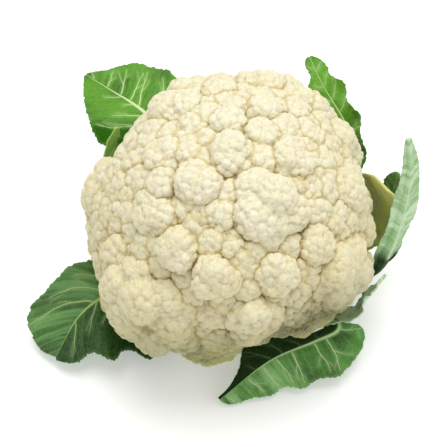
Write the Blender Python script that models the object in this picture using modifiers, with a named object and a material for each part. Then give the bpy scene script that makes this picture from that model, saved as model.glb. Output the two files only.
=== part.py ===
"""A cauliflower head as it is sold: one curd of packed florets on a short cut stalk,
with the leaves that still clasp it.

Frame: metres, +Z up. The origin is the centre of the stalk's cut foot, which stands
on the surface. -Y is the side that faces the viewer, +X is the viewer's right.
Directions are given as a turn about +Z from +X and a tilt down from +Z, in degrees.
"""

import math
from collections import namedtuple

import bmesh
import bpy
import numpy as np
from mathutils import Euler, Matrix, Vector
from mathutils.bvhtree import BVHTree

MM = 0.001
GOLDEN_TURN = math.radians(137.508)
SEED = 7

# The curd: an egg-shaped dome, its half widths, and how far it rises and drops from its centre.
CURD_HEIGHT = 80.0 * MM
CURD_HALF_WIDTH = 85.0 * MM
CURD_HALF_DEPTH = 91.0 * MM
CURD_RISE = 85.0 * MM
CURD_DROP = 76.0 * MM
# Broad swells and hollows take the dome off round: turn, tilt and spread in degrees, rise in mm.
SWELLS = (
    (147, 66, 20, -7),
    (-143, 114, 28, 5),
    (37, 63, 34, 4),
    (-35, 106, 28, 3),
    (-71, 115, 17, -14),
)
# What the florets grow out of, turned about +Z: radius and height in mm, from below up.
CORE_PROFILE = (
    (24, 45),
    (38, 47),
    (52, 56),
    (62, 70),
    (67, 86),
    (66, 104),
    (57, 124),
    (40, 139),
    (20, 146),
)
CORE_STEPS = 24
# The neck joins the core to the stalk.
NECK_PROFILE = (
    (20, 38),
    (21, 42),
    (27, 50),
    (20, 66),
)
# Short thick branches carry the florets whose tilt is more than this, from a fork low in the neck.
BRANCH_TILT = 90
BRANCH_FORK = 55.0 * MM
BRANCH_RADIUS = 7.0 * MM
BRANCH_FLARE = 1.5
BRANCH_SIDES = 10

# The stalk, turned about +Z: radius and height in mm, from the rim of its cut foot up.
STALK_PROFILE = (
    (22, 0),
    (23, 1),
    (23.5, 12),
    (22.5, 26),
    (20.5, 34),
    (20, 37.7),
)
STALK_STEPS = 36
# What is left of trimmed leaves: turn in degrees; height, half width, thickness and stand in mm.
STUBS = (
    (-97, 9, 13, 8, 20),
    (-134, 17, 10, 7, 16),
    (-66, 19, 9, 7, 12),
)
# How much a stub rises on its way out, and its sides.
STUB_RISE = 0.2
STUB_SIDES = 14

# The large florets: turn, tilt, radius in mm, and how far each stands out of the dome in mm.
FLORETS = (
    (-63, 39, 25, 7),
    (-21, 29, 15, 3),
    (-84, 13, 15, 3),
    (90, 3, 12, 2),
    (-8, 14, 12, 1),
    (43, 21, 12, 1),
    (136, 32, 19, 3),
    (-117, 28, 15, 4),
    (-163, 29, 14, 2),
    (-141, 36, 11, 2),
    (-134, 47, 15, 3),
    (173, 79, 25, 4),
    (175, 79, 12, 1),
    (-171, 92, 16, 0),
    (-123, 89, 36, 10),
    (-114, 55, 13, 6),
    (-95, 62, 14, 8),
    (-142, 73, 15, 2),
    (-146, 109, 17, 2),
    (-80, 83, 19, 5),
    (-101, 124, 19, 4),
    (-69, 64, 14, 4),
    (-83, 58, 11, -2),
    (-38, 84, 27, 8),
    (-20, 100, 15, 4),
    (-47, 61, 13, 4),
    (-7, 59, 19, 3),
    (-45, 111, 19, 0),
    (-5, 88, 18, 2),
    (-105, 45, 14, -3),
    (-90, 49, 12, -4),
    (25, 64, 21, 3),
    (52, 51, 20, 3),
    (69, 46, 20, 4),
    (98, 29, 13, 1),
    (114, 47, 17, 2),
    (41, 55, 18, 2),
    (-137, 114, 16, 2),
    (-30, 42, 12, -2),
    (103, 66, 23, 2),
    (138, 70, 20, 1),
    (162, 92, 20, 0),
    (70, 84, 23, 0),
    (38, 88, 22, 0),
    (107, 98, 20, -1),
    (-172, 108, 17, -5),
    (140, 102, 19, 0),
    (75, 110, 18, -2),
    (25, 108, 18, -2),
    (-14, 110, 17, -2),
    (8, 84, 18, 0),
)
# Small florets fill what the large ones leave open, wherever the dome shows a gap this deep.
GAP_DEPTH = 6.0 * MM
GAP_TILT = 108.0
GAP_SAMPLES = 1800
GAP_GROWTH = 6.0 * MM
GAP_RADIUS = (8.5 * MM, 14.0 * MM)
GAP_SINK = 1.5 * MM
# A floret smaller than this stays one ball.
PLAIN_FLORET = 12.5 * MM
# Any other is a ball of this share of its size inside rounded knobs, larger than life, down to this tilt.
BASE_SHARE = 0.84
KNOB_SHARE = 0.42
KNOB_LEAST = 3.0 * MM
KNOB_MOST = 11.5 * MM
KNOB_SPACING = 1.5
KNOB_TILT = 112.0
FEWEST_KNOBS = 5
# How deep a knob's centre lies under the floret's outside, in knob sizes, and how far knobs vary.
KNOB_DEPTH = 0.92
KNOB_SIZES = (0.86, 1.14)
KNOB_UNEVEN = 0.05
# How often the triangles of a ball are split in four, from twenty.
BALL_SPLITS = 2

# The union's skin is thinned to this share of its triangles, and eased where it then crosses itself.
CURD_THINNED = 0.28
EASE_ROUNDS = 12

# The leaves. Each is a midrib with a blade on both sides of it:
# path: points in mm that the midrib's upper side runs through, from the stalk to the tip;
# faces: the way its upper face looks at the root, in the middle and at the tip;
# widths: of the left and the right half in mm, seen from the root with the upper face up;
# start, widest: where each half starts on the midrib, and where it is widest, as shares of the length;
# blunt: below one the ends of a half are rounder, above it they are more drawn out;
# cup: how far each margin is turned up, in degrees; ruffle, waves: height in mm and number of its waves;
# phases: where in its wave each margin starts; lobes: how much those waves also cut into the outline;
# sweep: how far each half leans towards the tip; root: half width and thickness there in mm;
# grid: sections along the leaf and points across it.
Leaf = namedtuple(
    "Leaf", "name path faces widths start widest blunt cup ruffle waves phases lobes sweep root grid"
)
LEAVES = (
    Leaf(
        name="leaf_front_left",
        path=((-25, -3, 19), (-46, -9, 25), (-74, -19, 30), (-92, -32, 25), (-106, -52, 11)),
        faces=((0, 0, 1), (0.0, -0.25, 1), (-0.5, -0.3, 1)),
        widths=(47, 30),
        start=(0.08, 0.2),
        widest=(0.3, 0.66),
        blunt=(1.0, 0.42),
        cup=(-14, 26),
        ruffle=3.0,
        waves=3.05,
        phases=(1.8, 4.9),
        lobes=(0.2, 0.06),
        sweep=(1.1, 0.25),
        root=(11, 8),
        grid=(16, 9),
    ),
    Leaf(
        name="leaf_back_left",
        path=(
            (-15, 19.5, 22),
            (-32, 43, 27),
            (-45, 68, 42),
            (-47, 81, 64),
            (-51, 88, 77),
            (-61, 98, 79),
            (-77, 114, 76),
            (-94, 131, 73),
        ),
        faces=((0, 0, 1), (0.5, -0.7, 0.6), (0, -0.2, 1)),
        widths=(37, 32),
        start=(0.34, 0.34),
        widest=(0.42, 0.56),
        blunt=(0.9, 0.9),
        cup=(8, 10),
        ruffle=2.5,
        waves=3.5,
        phases=(0.4, 2.6),
        lobes=(0.04, 0.04),
        sweep=(0, 0),
        root=(12, 9),
        grid=(16, 9),
    ),
    Leaf(
        name="leaf_back_left_inner",
        path=((-21, 12.5, 31), (-46, 30, 30), (-70, 49, 46), (-76, 57, 70), (-68, 60, 95)),
        faces=((0, 0, 1), (0.7, -0.4, 0.6), (0.8, -0.5, 0.3)),
        widths=(5, 11),
        start=(0.4, 0.4),
        widest=(0.55, 0.55),
        blunt=(0.8, 0.8),
        cup=(14, 14),
        ruffle=1.5,
        waves=3,
        phases=(0.4, 2.6),
        lobes=(0.08, 0.08),
        sweep=(0, 0),
        root=(5, 4.5),
        grid=(11, 7),
    ),
    Leaf(
        name="leaf_back",
        path=((3, 25, 15), (8, 54, 21), (14, 84, 34), (16, 99, 58), (15, 106, 84)),
        faces=((0, 0, 1), (0, -0.6, 0.8), (0, -1, 0.2)),
        widths=(27, 29),
        start=(0.3, 0.3),
        widest=(0.6, 0.6),
        blunt=(0.7, 0.7),
        cup=(16, 16),
        ruffle=3,
        waves=3.4,
        phases=(0.4, 2.6),
        lobes=(0.05, 0.05),
        sweep=(0, 0),
        root=(11, 8),
        grid=(15, 9),
    ),
    Leaf(
        name="leaf_back_right",
        path=(
            (18.5, 16.5, 24),
            (45, 36, 26),
            (73, 53, 41),
            (80.5, 59, 66),
            (73.5, 68, 90),
            (62, 81, 105),
            (56, 91, 111),
            (51, 103, 116),
        ),
        faces=((0, 0, 1), (-0.6, -0.3, 0.7), (0, -0.6, 0.8)),
        widths=(13, 12.5),
        start=(0.3, 0.3),
        widest=(0.6, 0.75),
        blunt=(0.6, 0.8),
        cup=(10, 6),
        ruffle=3.5,
        waves=6,
        phases=(0.4, 2.15),
        lobes=(0.6, 0.42),
        sweep=(0, 0),
        root=(10, 7),
        grid=(28, 9),
    ),
    Leaf(
        name="leaf_right_small",
        path=((22.5, 11.5, 15), (58, 23, 19), (86, 31, 40), (100, 34, 58), (104, 37, 79)),
        faces=((0, 0, 1), (-0.8, -0.3, 0.5), (-0.9, -0.4, 0.2)),
        widths=(12, 14),
        start=(0.45, 0.45),
        widest=(0.6, 0.6),
        blunt=(0.6, 0.6),
        cup=(14, 14),
        ruffle=1.5,
        waves=2.5,
        phases=(0.4, 2.6),
        lobes=(0.05, 0.05),
        sweep=(0, 0),
        root=(5, 5),
        grid=(11, 7),
    ),
    Leaf(
        name="leaf_right_inner",
        path=((25, 1, 33), (55, 8, 32), (84, 12, 40), (95, 9, 56), (98, 7, 74), (97, 7, 94)),
        faces=((0, 0, 1), (-0.8, -0.45, 0.3), (-0.85, -0.5, 0)),
        widths=(36, 5),
        start=(0.38, 0.38),
        widest=(0.7, 0.6),
        blunt=(0.35, 0.55),
        cup=(-4, 12),
        ruffle=1.2,
        waves=2.5,
        phases=(0.4, 2.6),
        lobes=(0.04, 0.04),
        sweep=(0, 0),
        root=(6, 4.5),
        grid=(12, 7),
    ),
    Leaf(
        name="leaf_right_tall",
        path=(
            (25, -3, 21),
            (56, -5, 25),
            (87, -5, 36),
            (97.5, -4, 58),
            (104, 1, 88),
            (106, 7, 116),
            (103, 11, 140),
        ),
        faces=((0, 0, 1), (-0.2, 0.9, 0.4), (-0.4, 0.9, 0)),
        widths=(10, 9.5),
        start=(0.3, 0.36),
        widest=(0.36, 0.3),
        blunt=(0.8, 0.8),
        cup=(16, -6),
        ruffle=1.2,
        waves=3,
        phases=(0.4, 2.6),
        lobes=(0.04, 0.04),
        sweep=(0, 0),
        root=(10, 7),
        grid=(16, 9),
    ),
    Leaf(
        name="leaf_right_low",
        path=((21.5, -13.5, 26), (50, -29, 26), (73, -36, 32), (82.5, -28, 39), (95, -17, 49)),
        faces=((0, 0, 1), (-0.5, 0.5, 0.7), (-0.8, 0.5, 0.3)),
        widths=(12, 13),
        start=(0.42, 0.42),
        widest=(0.5, 0.5),
        blunt=(0.6, 0.6),
        cup=(12, 12),
        ruffle=1.5,
        waves=3,
        phases=(0.4, 2.6),
        lobes=(0.1, 0.1),
        sweep=(0, 0),
        root=(5, 4.5),
        grid=(11, 7),
    ),
    Leaf(
        name="leaf_front_right",
        path=(
            (22, -12.5, 10),
            (50, -21, 14),
            (66.5, -30, 19),
            (66.5, -42, 24),
            (53, -51, 26),
            (25, -62, 20),
            (-5, -81, 7),
        ),
        faces=((0, 0, 1), (0.35, -0.45, 0.8), (0.1, -0.6, 0.8)),
        widths=(26, 20),
        start=(0.36, 0.48),
        widest=(0.3, 0.5),
        blunt=(0.6, 3.5),
        cup=(-12, -16),
        ruffle=2.0,
        waves=4,
        phases=(0.8, 3.4),
        lobes=(0.16, 0.2),
        sweep=(0, 0),
        root=(11, 8),
        grid=(26, 9),
    ),
)
BLADE_THICKNESS = 1.1
# The midrib's half width and thickness at the tip, and how fast they fall to it from the root.
RIB_TIP_WIDTH = 1.6
RIB_TIP_THICKNESS = 1.6
RIB_NARROWS = 0.7
RIB_THINS = 0.6
# How points crowd towards the midrib, the least cup, and the share a midrib's direction is taken over.
CROWDING = 1.35
LEAST_CUP = 0.02
BEND_SHARE = 0.04
PATH_SAMPLES = 400

# Points on the axis of a turned body that lie this near one another are one point.
MERGE_WITHIN = 0.01 * MM
# Edges sharper than this stay hard.
STALK_SHARP = 40.0
LEAF_SHARP = 50.0

CURD_COLOUR = (0.80, 0.72, 0.50)
STALK_COLOUR = (0.66, 0.72, 0.42)
OUTER_LEAF_COLOUR = (0.06, 0.17, 0.03)
TALL_LEAF_COLOUR = (0.24, 0.40, 0.20)
INNER_LEAF_COLOUR = (0.30, 0.40, 0.10)
CURD_ROUGHNESS = 0.62
STALK_ROUGHNESS = 0.5
LEAF_ROUGHNESS = 0.48


def direction(turn, tilt):
    """The unit vector of a turn about +Z and a tilt down from +Z, in degrees."""
    turn, tilt = np.radians(turn), np.radians(tilt)
    return np.stack([np.sin(tilt) * np.cos(turn), np.sin(tilt) * np.sin(turn), np.cos(tilt)], axis=-1)


def dome_reach(ways):
    """How far the dome's surface is from its centre, along each unit vector."""
    height = np.where(ways[..., 2] >= 0, CURD_RISE, CURD_DROP)
    scaled = (ways[..., 0] / CURD_HALF_WIDTH, ways[..., 1] / CURD_HALF_DEPTH, ways[..., 2] / height)
    reach = 1.0 / np.linalg.norm(scaled, axis=0)
    for turn, tilt, spread, rise in SWELLS:
        apart = np.degrees(np.arccos(np.clip(ways @ direction(turn, tilt), -1, 1)))
        reach = reach + rise * MM * np.exp(-((apart / spread) ** 2))
    return reach


def spiral(count, lowest):
    """Unit vectors in a golden spiral round +Z, evenly spread down to the given height."""
    step = np.arange(count)
    height = 1 - (step + 0.5) / count * (1 - lowest)
    ring = np.sqrt(1 - height**2)
    return np.stack([ring * np.cos(step * GOLDEN_TURN), ring * np.sin(step * GOLDEN_TURN), height], axis=-1)


def large_florets():
    """(centre, radius, axis) of each floret in the list, about the dome's centre."""
    found = []
    for turn, tilt, radius, stand in FLORETS:
        axis = direction(turn, tilt)
        found.append((axis * (dome_reach(axis) + (stand - radius) * MM), radius * MM, axis))
    return found


def with_gap_florets(florets):
    """Adds one small floret after another where the dome lies furthest from every floret so far."""
    axes = spiral(GAP_SAMPLES, math.cos(math.radians(GAP_TILT)))
    surface = axes * dome_reach(axes)[:, None]
    gap = np.full(len(axes), 1.0)
    for centre, radius, _ in florets:
        gap = np.minimum(gap, np.linalg.norm(surface - centre, axis=1) - radius)
    florets = list(florets)
    while gap.max() > GAP_DEPTH:
        pick = int(gap.argmax())
        radius = float(np.clip(gap[pick] + GAP_GROWTH, *GAP_RADIUS))
        centre = surface[pick] - axes[pick] * (radius + GAP_SINK)
        florets.append((centre, radius, axes[pick]))
        gap = np.minimum(gap, np.linalg.norm(surface - centre, axis=1) - radius)
    return florets


def knobs_of(centre, radius, axis, draw):
    """(centre, radius) of the rounded knobs that make a floret's head, in a spiral round its axis."""
    size = min(KNOB_SHARE * radius + KNOB_LEAST, KNOB_MOST)
    lowest = math.cos(math.radians(KNOB_TILT))
    shell = 2 * math.pi * (1 - lowest) * (radius - KNOB_DEPTH * size) ** 2
    cell = math.sqrt(0.75) * (KNOB_SPACING * size) ** 2
    ways = spiral(max(FEWEST_KNOBS, round(shell / cell)), lowest)
    turned = Vector((0, 0, 1)).rotation_difference(Vector(axis)).to_matrix()
    spin = Euler((0, 0, draw.uniform(0, 2 * math.pi))).to_matrix()
    ways = ways @ np.array(turned @ spin).T
    sizes = size * draw.uniform(*KNOB_SIZES, len(ways))
    reach = radius - KNOB_DEPTH * sizes + draw.uniform(-KNOB_UNEVEN, KNOB_UNEVEN, len(ways)) * radius
    return [(centre + way * far, part) for way, far, part in zip(ways, reach, sizes)]


def clear_scene():
    """Removes every object that the file opened with."""
    for item in list(bpy.data.objects):
        bpy.data.objects.remove(item)


def new_collection(name):
    """A collection in the scene."""
    made = bpy.data.collections.new(name)
    bpy.context.scene.collection.children.link(made)
    return made


def surface_material(name, colour, roughness):
    """A Principled material of one colour."""
    made = bpy.data.materials.new(name)
    made.use_nodes = True
    shader = made.node_tree.nodes["Principled BSDF"]
    shader.inputs["Base Color"].default_value = (*colour, 1.0)
    shader.inputs["Roughness"].default_value = roughness
    shader.inputs["Metallic"].default_value = 0.0
    return made


def evaluated_mesh(item):
    """The mesh that an object's modifiers give."""
    return bpy.data.meshes.new_from_object(item.evaluated_get(bpy.context.evaluated_depsgraph_get()))


def turned(name, profile, steps, collection):
    """A body turned about +Z from a profile of radius and height, closed at its top and its foot."""
    rows = [(0.0, profile[-1][1]), *reversed(profile), (0.0, profile[0][1])]
    points = [(radius * MM, 0.0, height * MM) for radius, height in rows]
    lines = [(row, row + 1) for row in range(len(rows) - 1)]
    mesh = bpy.data.meshes.new(name)
    mesh.from_pydata(points, lines, [])
    body = bpy.data.objects.new(name, mesh)
    collection.objects.link(body)
    screw = body.modifiers.new("turn", "SCREW")
    screw.steps = screw.render_steps = steps
    screw.use_merge_vertices = True
    screw.merge_threshold = MERGE_WITHIN
    return body


def applied(item):
    """Gives an object the mesh of its modifiers, and removes them."""
    mesh = evaluated_mesh(item)
    item.modifiers.clear()
    item.data = mesh
    return item


def ball(centre, radius, draw, collection):
    """One coarse ball, turned at random."""
    made = bmesh.new()
    bmesh.ops.create_icosphere(made, subdivisions=BALL_SPLITS, radius=radius)
    turn = Euler(draw.uniform(0, 2 * math.pi, 3)).to_matrix().to_4x4()
    bmesh.ops.transform(made, matrix=Matrix.Translation(Vector(centre)) @ turn, verts=made.verts)
    add_body("ball", made, collection)


def branch(foot, head, radius, collection):
    """A round branch from foot to head, thicker at its head."""
    way = Vector(head) - Vector(foot)
    flared = radius * BRANCH_FLARE
    made = bmesh.new()
    bmesh.ops.create_cone(
        made, cap_ends=True, segments=BRANCH_SIDES, radius1=radius, radius2=flared, depth=way.length
    )
    place = Matrix.Translation((Vector(foot) + Vector(head)) / 2)
    turn = way.to_track_quat("Z", "Y").to_matrix().to_4x4()
    bmesh.ops.transform(made, matrix=place @ turn, verts=made.verts)
    add_body("branch", made, collection)


def add_body(name, made, collection):
    """Puts a bmesh into the scene as an object."""
    mesh = bpy.data.meshes.new(name)
    made.to_mesh(mesh)
    made.free()
    body = bpy.data.objects.new(name, mesh)
    collection.objects.link(body)
    return body


def join_all(body, additions):
    """Unites a body with every object of a collection, and removes them."""
    union = body.modifiers.new("join", "BOOLEAN")
    union.operation = "UNION"
    union.operand_type = "COLLECTION"
    union.collection = additions
    union.solver = "MANIFOLD"
    applied(body)
    for item in list(additions.objects):
        bpy.data.objects.remove(item)
    bpy.data.collections.remove(additions)
    return body


def keep_outer_skin(body):
    """Deletes every loose shell but the one with the most faces, so sealed hollows are filled."""
    made = bmesh.new()
    made.from_mesh(body.data)
    left = set(made.faces)
    shells = []
    while left:
        shell = {left.pop()}
        front = list(shell)
        while front:
            near = {other for edge in front.pop().edges for other in edge.link_faces} & left
            left -= near
            shell |= near
            front.extend(near)
        shells.append(shell)
    shells.sort(key=len)
    for shell in shells[:-1]:
        bmesh.ops.delete(made, geom=list(shell), context="FACES")
    made.to_mesh(body.data)
    made.free()


def thin_out(body, share):
    """Collapses edges until this share of the triangles is left."""
    thinner = body.modifiers.new("thin", "DECIMATE")
    thinner.ratio = share
    thinner.use_collapse_triangulate = True
    return applied(body)


def ease_crossings(body):
    """Smooths the corners of triangles that cut through one another, until none do."""
    made = bmesh.new()
    made.from_mesh(body.data)
    for _ in range(EASE_ROUNDS):
        made.verts.index_update()
        made.faces.ensure_lookup_table()
        tree = BVHTree.FromBMesh(made)
        tangled = set()
        for one, other in tree.overlap(tree):
            corners = set(made.faces[one].verts)
            others = set(made.faces[other].verts)
            if not corners & others:
                tangled |= corners | others
        if not tangled:
            break
        tangled = sorted(tangled, key=lambda corner: corner.index)
        bmesh.ops.smooth_vert(
            made, verts=tangled, factor=0.5, use_axis_x=True, use_axis_y=True, use_axis_z=True
        )
    made.to_mesh(body.data)
    made.free()


def make_curd(collection, material):
    """The head: florets of knobs that stand out of a smaller core, with short branches under them."""
    additions = new_collection("florets")
    draw = np.random.default_rng(SEED)
    middle = np.array([0.0, 0.0, CURD_HEIGHT])
    fork = np.array([0.0, 0.0, BRANCH_FORK])
    large = large_florets()
    for centre, radius, axis in with_gap_florets(large):
        if radius < PLAIN_FLORET:
            ball(middle + centre, radius, draw, additions)
            continue
        ball(middle + centre, BASE_SHARE * radius, draw, additions)
        for knob, size in knobs_of(centre, radius, axis, draw):
            ball(middle + knob, size, draw, additions)
    for (centre, _, _), (_, tilt, _, _) in zip(large, FLORETS):
        if tilt > BRANCH_TILT:
            branch(fork, middle + centre, BRANCH_RADIUS, additions)
    curd = applied(turned("curd", CORE_PROFILE, CORE_STEPS, collection))
    join_all(curd, additions)
    keep_outer_skin(curd)
    thin_out(curd, CURD_THINNED)
    ease_crossings(curd)
    necks = new_collection("necks")
    applied(turned("neck", NECK_PROFILE, CORE_STEPS, necks))
    join_all(curd, necks)
    curd.data.materials.clear()
    curd.data.materials.append(material)
    return curd


def stub(turn, height, half_width, thickness, stand, collection):
    """The cut end of a trimmed leaf: a flat oval peg that stands out of the stalk and up a little."""
    reach = STALK_PROFILE[2][0] + stand
    foot = Vector((0, 0, height)) * MM
    head = Vector((*(direction(turn, 90)[:2] * reach), height + STUB_RISE * reach)) * MM
    way = head - foot
    made = bmesh.new()
    bmesh.ops.create_cone(made, cap_ends=True, segments=STUB_SIDES, radius1=1, radius2=1, depth=way.length)
    bmesh.ops.scale(made, vec=(half_width * MM, thickness / 2 * MM, 1), verts=made.verts)
    across = Vector((0, 0, 1)).cross(way).normalized()
    frame = Matrix((across, way.normalized().cross(across), way.normalized())).transposed().to_4x4()
    bmesh.ops.transform(made, matrix=Matrix.Translation((foot + head) / 2) @ frame, verts=made.verts)
    add_body("stub", made, collection)


def make_stalk(collection, material):
    """The stalk, cut flat below, with the stubs of trimmed leaves."""
    additions = new_collection("stubs")
    for row in STUBS:
        stub(*row, additions)
    stalk = applied(turned("stalk", STALK_PROFILE, STALK_STEPS, collection))
    join_all(stalk, additions)
    stalk.data.materials.clear()
    stalk.data.materials.append(material)
    stalk.data.shade_smooth()
    stalk.data.set_sharp_from_angle(angle=math.radians(STALK_SHARP))
    return stalk


def smooth_path(points, shares):
    """Points on one smooth curve through the given points (Catmull-Rom), at these shares of its length."""
    points = np.asarray(points, dtype=float)
    ends = np.vstack([2 * points[0] - points[1], points, 2 * points[-1] - points[-2]])
    fine = np.linspace(0, len(points) - 1, PATH_SAMPLES)
    piece = np.minimum(fine.astype(int), len(points) - 2)
    u = (fine - piece)[:, None]
    a, b, c, d = ends[piece], ends[piece + 1], ends[piece + 2], ends[piece + 3]
    bend = (2 * a - 5 * b + 4 * c - d) * u**2 + (3 * b - a - 3 * c + d) * u**3
    curve = 0.5 * (2 * b + (c - a) * u + bend)
    length = np.concatenate([[0], np.cumsum(np.linalg.norm(np.diff(curve, axis=0), axis=1))])
    return np.stack([np.interp(shares * length[-1], length, curve[:, k]) for k in range(3)], axis=-1)


def unit_rows(rows):
    """Each row scaled to length one."""
    return rows / np.linalg.norm(rows, axis=-1, keepdims=True)


def blade_half(leaf, side, along):
    """How far along its blade one half is, its swell and its half width in mm, by shares of the length.

    The half swells by a sine that is raised, so that it peaks where the half is widest, and the notches
    between its lobes take away a share of a cosine along the blade.
    """
    blade = np.clip((along - leaf.start[side]) / (1 - leaf.start[side]), 0, 1)
    swell = np.sin(math.pi * blade ** (math.log(0.5) / math.log(leaf.widest[side]))) ** leaf.blunt[side]
    rib = rib_half_width(leaf, along)
    notches = 0.5 - 0.5 * np.cos(2 * math.pi * leaf.waves * blade + leaf.phases[side])
    return blade, swell, rib + (leaf.widths[side] - rib) * swell * (1 - leaf.lobes[side] * notches)


def rib_half_width(leaf, along):
    """The midrib's half width in mm, from the root's to a fine tip's."""
    return leaf.root[0] + (RIB_TIP_WIDTH - leaf.root[0]) * along**RIB_NARROWS


def path_direction(path, along):
    """The way a path runs at shares of its length, taken over a short share so that bends stay soft."""
    after = smooth_path(path, np.clip(along + BEND_SHARE, 0, 1))
    return unit_rows(after - smooth_path(path, np.clip(along - BEND_SHARE, 0, 1)))


def leaf_surfaces(leaf):
    """The upper and the lower surface of a leaf as two grids of points, in mm.

    Across the leaf each half is an arc that turns its margin up by the cup angle, and that leans
    towards the tip by the sweep, more so further along. A ruffle, a sine along the blade that grows
    with the square of the distance from the midrib, lifts and lowers it.
    The lower surface lies under the upper one by the blade's thickness, and by the rib's half
    ellipse within the rib.
    """
    sections, points = leaf.grid
    along = np.linspace(0, 1, sections)
    middle = smooth_path(leaf.path, along)
    ahead = path_direction(leaf.path, along)
    face = smooth_path(leaf.faces, along)
    face = unit_rows(face - np.sum(face * ahead, axis=1, keepdims=True) * ahead)
    right = np.cross(ahead, face)
    even = np.linspace(-1, 1, points)
    across = np.abs(even) ** CROWDING
    halves = [blade_half(leaf, side, along) for side in (0, 1)]
    side = (even > 0).astype(int)
    blade, swell, half = (np.stack([half[k] for half in halves], axis=-1)[:, side] for k in range(3))
    cup = np.radians(np.array(leaf.cup, dtype=float)[side]) * swell + LEAST_CUP
    turn = cup * across
    sideways = half * np.sin(turn) / cup * np.sign(even)
    lift = half * (1 - np.cos(turn)) / cup
    wave = np.sin(2 * math.pi * leaf.waves * blade + np.array(leaf.phases)[side])
    lift = lift + leaf.ruffle * across**2 * wave * swell

    rib_deep = leaf.root[1] + (RIB_TIP_THICKNESS - leaf.root[1]) * along**RIB_THINS
    rib = rib_half_width(leaf, along)[:, None]
    round_rib = np.sqrt(np.clip(1 - (sideways / rib) ** 2, 0, 1))
    deep = BLADE_THICKNESS + (rib_deep[:, None] - BLADE_THICKNESS) * round_rib
    lean = turn * np.sign(even)
    forward = np.array(leaf.sweep)[side] * blade**2 * np.abs(sideways)
    swept = middle[:, None] + ahead[:, None] * forward[..., None]

    def place(x, z):
        return swept + right[:, None] * x[..., None] + face[:, None] * z[..., None]

    upper = place(sideways, lift)
    lower = place(sideways + deep * np.sin(lean), lift - deep * np.cos(lean))
    return upper, lower


def sheet_triangles(rows, columns):
    """Two triangles for each cell of a grid, all split the same way."""
    corner = (np.arange(rows - 1)[:, None] * columns + np.arange(columns - 1)).ravel()
    first = np.stack([corner, corner + 1, corner + columns + 1], axis=1)
    second = np.stack([corner, corner + columns + 1, corner + columns], axis=1)
    return np.vstack([first, second])


def rim_triangles(upper, lower):
    """The strip between two matching rows of points, the upper and the lower edge of a sheet."""
    first = np.stack([upper[:-1], lower[:-1], lower[1:]], axis=1)
    second = np.stack([upper[:-1], lower[1:], upper[1:]], axis=1)
    return np.vstack([first, second])


def make_leaf(leaf, collection, material):
    """One leaf: a closed sheet between its two surfaces."""
    upper, lower = leaf_surfaces(leaf)
    rows, columns = upper.shape[:2]
    count = rows * columns
    grid = np.arange(count).reshape(rows, columns)
    rim = np.concatenate([grid[0], grid[1:, -1], grid[-1, -2::-1], grid[-2::-1, 0]])
    sheet = sheet_triangles(rows, columns)
    faces = np.vstack([sheet, sheet[:, ::-1] + count, rim_triangles(rim, rim + count)])
    mesh = bpy.data.meshes.new(leaf.name)
    mesh.from_pydata(np.vstack([upper.reshape(-1, 3), lower.reshape(-1, 3)]) * MM, [], faces)
    mesh.materials.append(material)
    mesh.shade_smooth()
    mesh.set_sharp_from_angle(angle=math.radians(LEAF_SHARP))
    body = bpy.data.objects.new(leaf.name, mesh)
    collection.objects.link(body)
    return body


def main():
    """Builds the head, its stalk and its leaves."""
    clear_scene()
    collection = new_collection("cauliflower")
    curd_skin = surface_material("curd", CURD_COLOUR, CURD_ROUGHNESS)
    stalk_skin = surface_material("stalk", STALK_COLOUR, STALK_ROUGHNESS)
    outer = surface_material("outer_leaf", OUTER_LEAF_COLOUR, LEAF_ROUGHNESS)
    tall = surface_material("tall_leaf", TALL_LEAF_COLOUR, LEAF_ROUGHNESS)
    inner = surface_material("inner_leaf", INNER_LEAF_COLOUR, LEAF_ROUGHNESS)
    make_curd(collection, curd_skin)
    make_stalk(collection, stalk_skin)
    for leaf in LEAVES:
        if "inner" in leaf.name:
            skin = inner
        elif leaf.name in ("leaf_right_tall", "leaf_right_low"):
            skin = tall
        else:
            skin = outer
        make_leaf(leaf, collection, skin)


main()
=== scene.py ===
"""A dressed cauliflower head: its curd of florets, lobes, knobs and buds, its ribbed leaves and cut stalk.

Everything is in metres and in the solids' own frame: the origin is the centre of the stalk's cut
foot, +Z is up, -Y is the viewer's side and +X the viewer's right. A turn is an angle about +Z from
+X, and a tilt is an angle down from +Z. The head's main sizes are those of the solids.
"""

import math
from collections import namedtuple

import bpy
import numpy as np
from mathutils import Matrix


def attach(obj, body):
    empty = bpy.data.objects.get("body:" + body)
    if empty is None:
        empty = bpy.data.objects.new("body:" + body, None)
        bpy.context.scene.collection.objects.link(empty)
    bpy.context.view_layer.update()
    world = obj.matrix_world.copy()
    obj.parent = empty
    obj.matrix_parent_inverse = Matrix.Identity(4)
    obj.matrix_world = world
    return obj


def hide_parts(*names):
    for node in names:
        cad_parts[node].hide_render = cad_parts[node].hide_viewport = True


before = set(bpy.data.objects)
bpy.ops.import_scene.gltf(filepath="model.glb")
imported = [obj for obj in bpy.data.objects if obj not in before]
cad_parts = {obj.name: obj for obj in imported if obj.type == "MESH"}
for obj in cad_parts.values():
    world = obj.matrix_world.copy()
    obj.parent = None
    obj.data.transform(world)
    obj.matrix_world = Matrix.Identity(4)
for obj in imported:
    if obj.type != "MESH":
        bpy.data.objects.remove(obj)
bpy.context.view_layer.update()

MM = 0.001
GOLDEN_TURN = math.radians(137.508)

# The curd's dome, and what takes it off round: turn, tilt and spread in degrees, rise in mm.
CURD_HEIGHT = 80.0 * MM
CURD_MIDDLE = np.array([0.0, 0.0, CURD_HEIGHT])
CURD_HALF_WIDTH = 85.0 * MM
CURD_HALF_DEPTH = 91.0 * MM
CURD_RISE = 85.0 * MM
CURD_DROP = 76.0 * MM
SWELLS = (
    (147, 66, 20, -7), (-143, 114, 28, 5), (37, 63, 34, 4), (-35, 106, 28, 3), (-71, 115, 17, -14),
)
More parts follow.
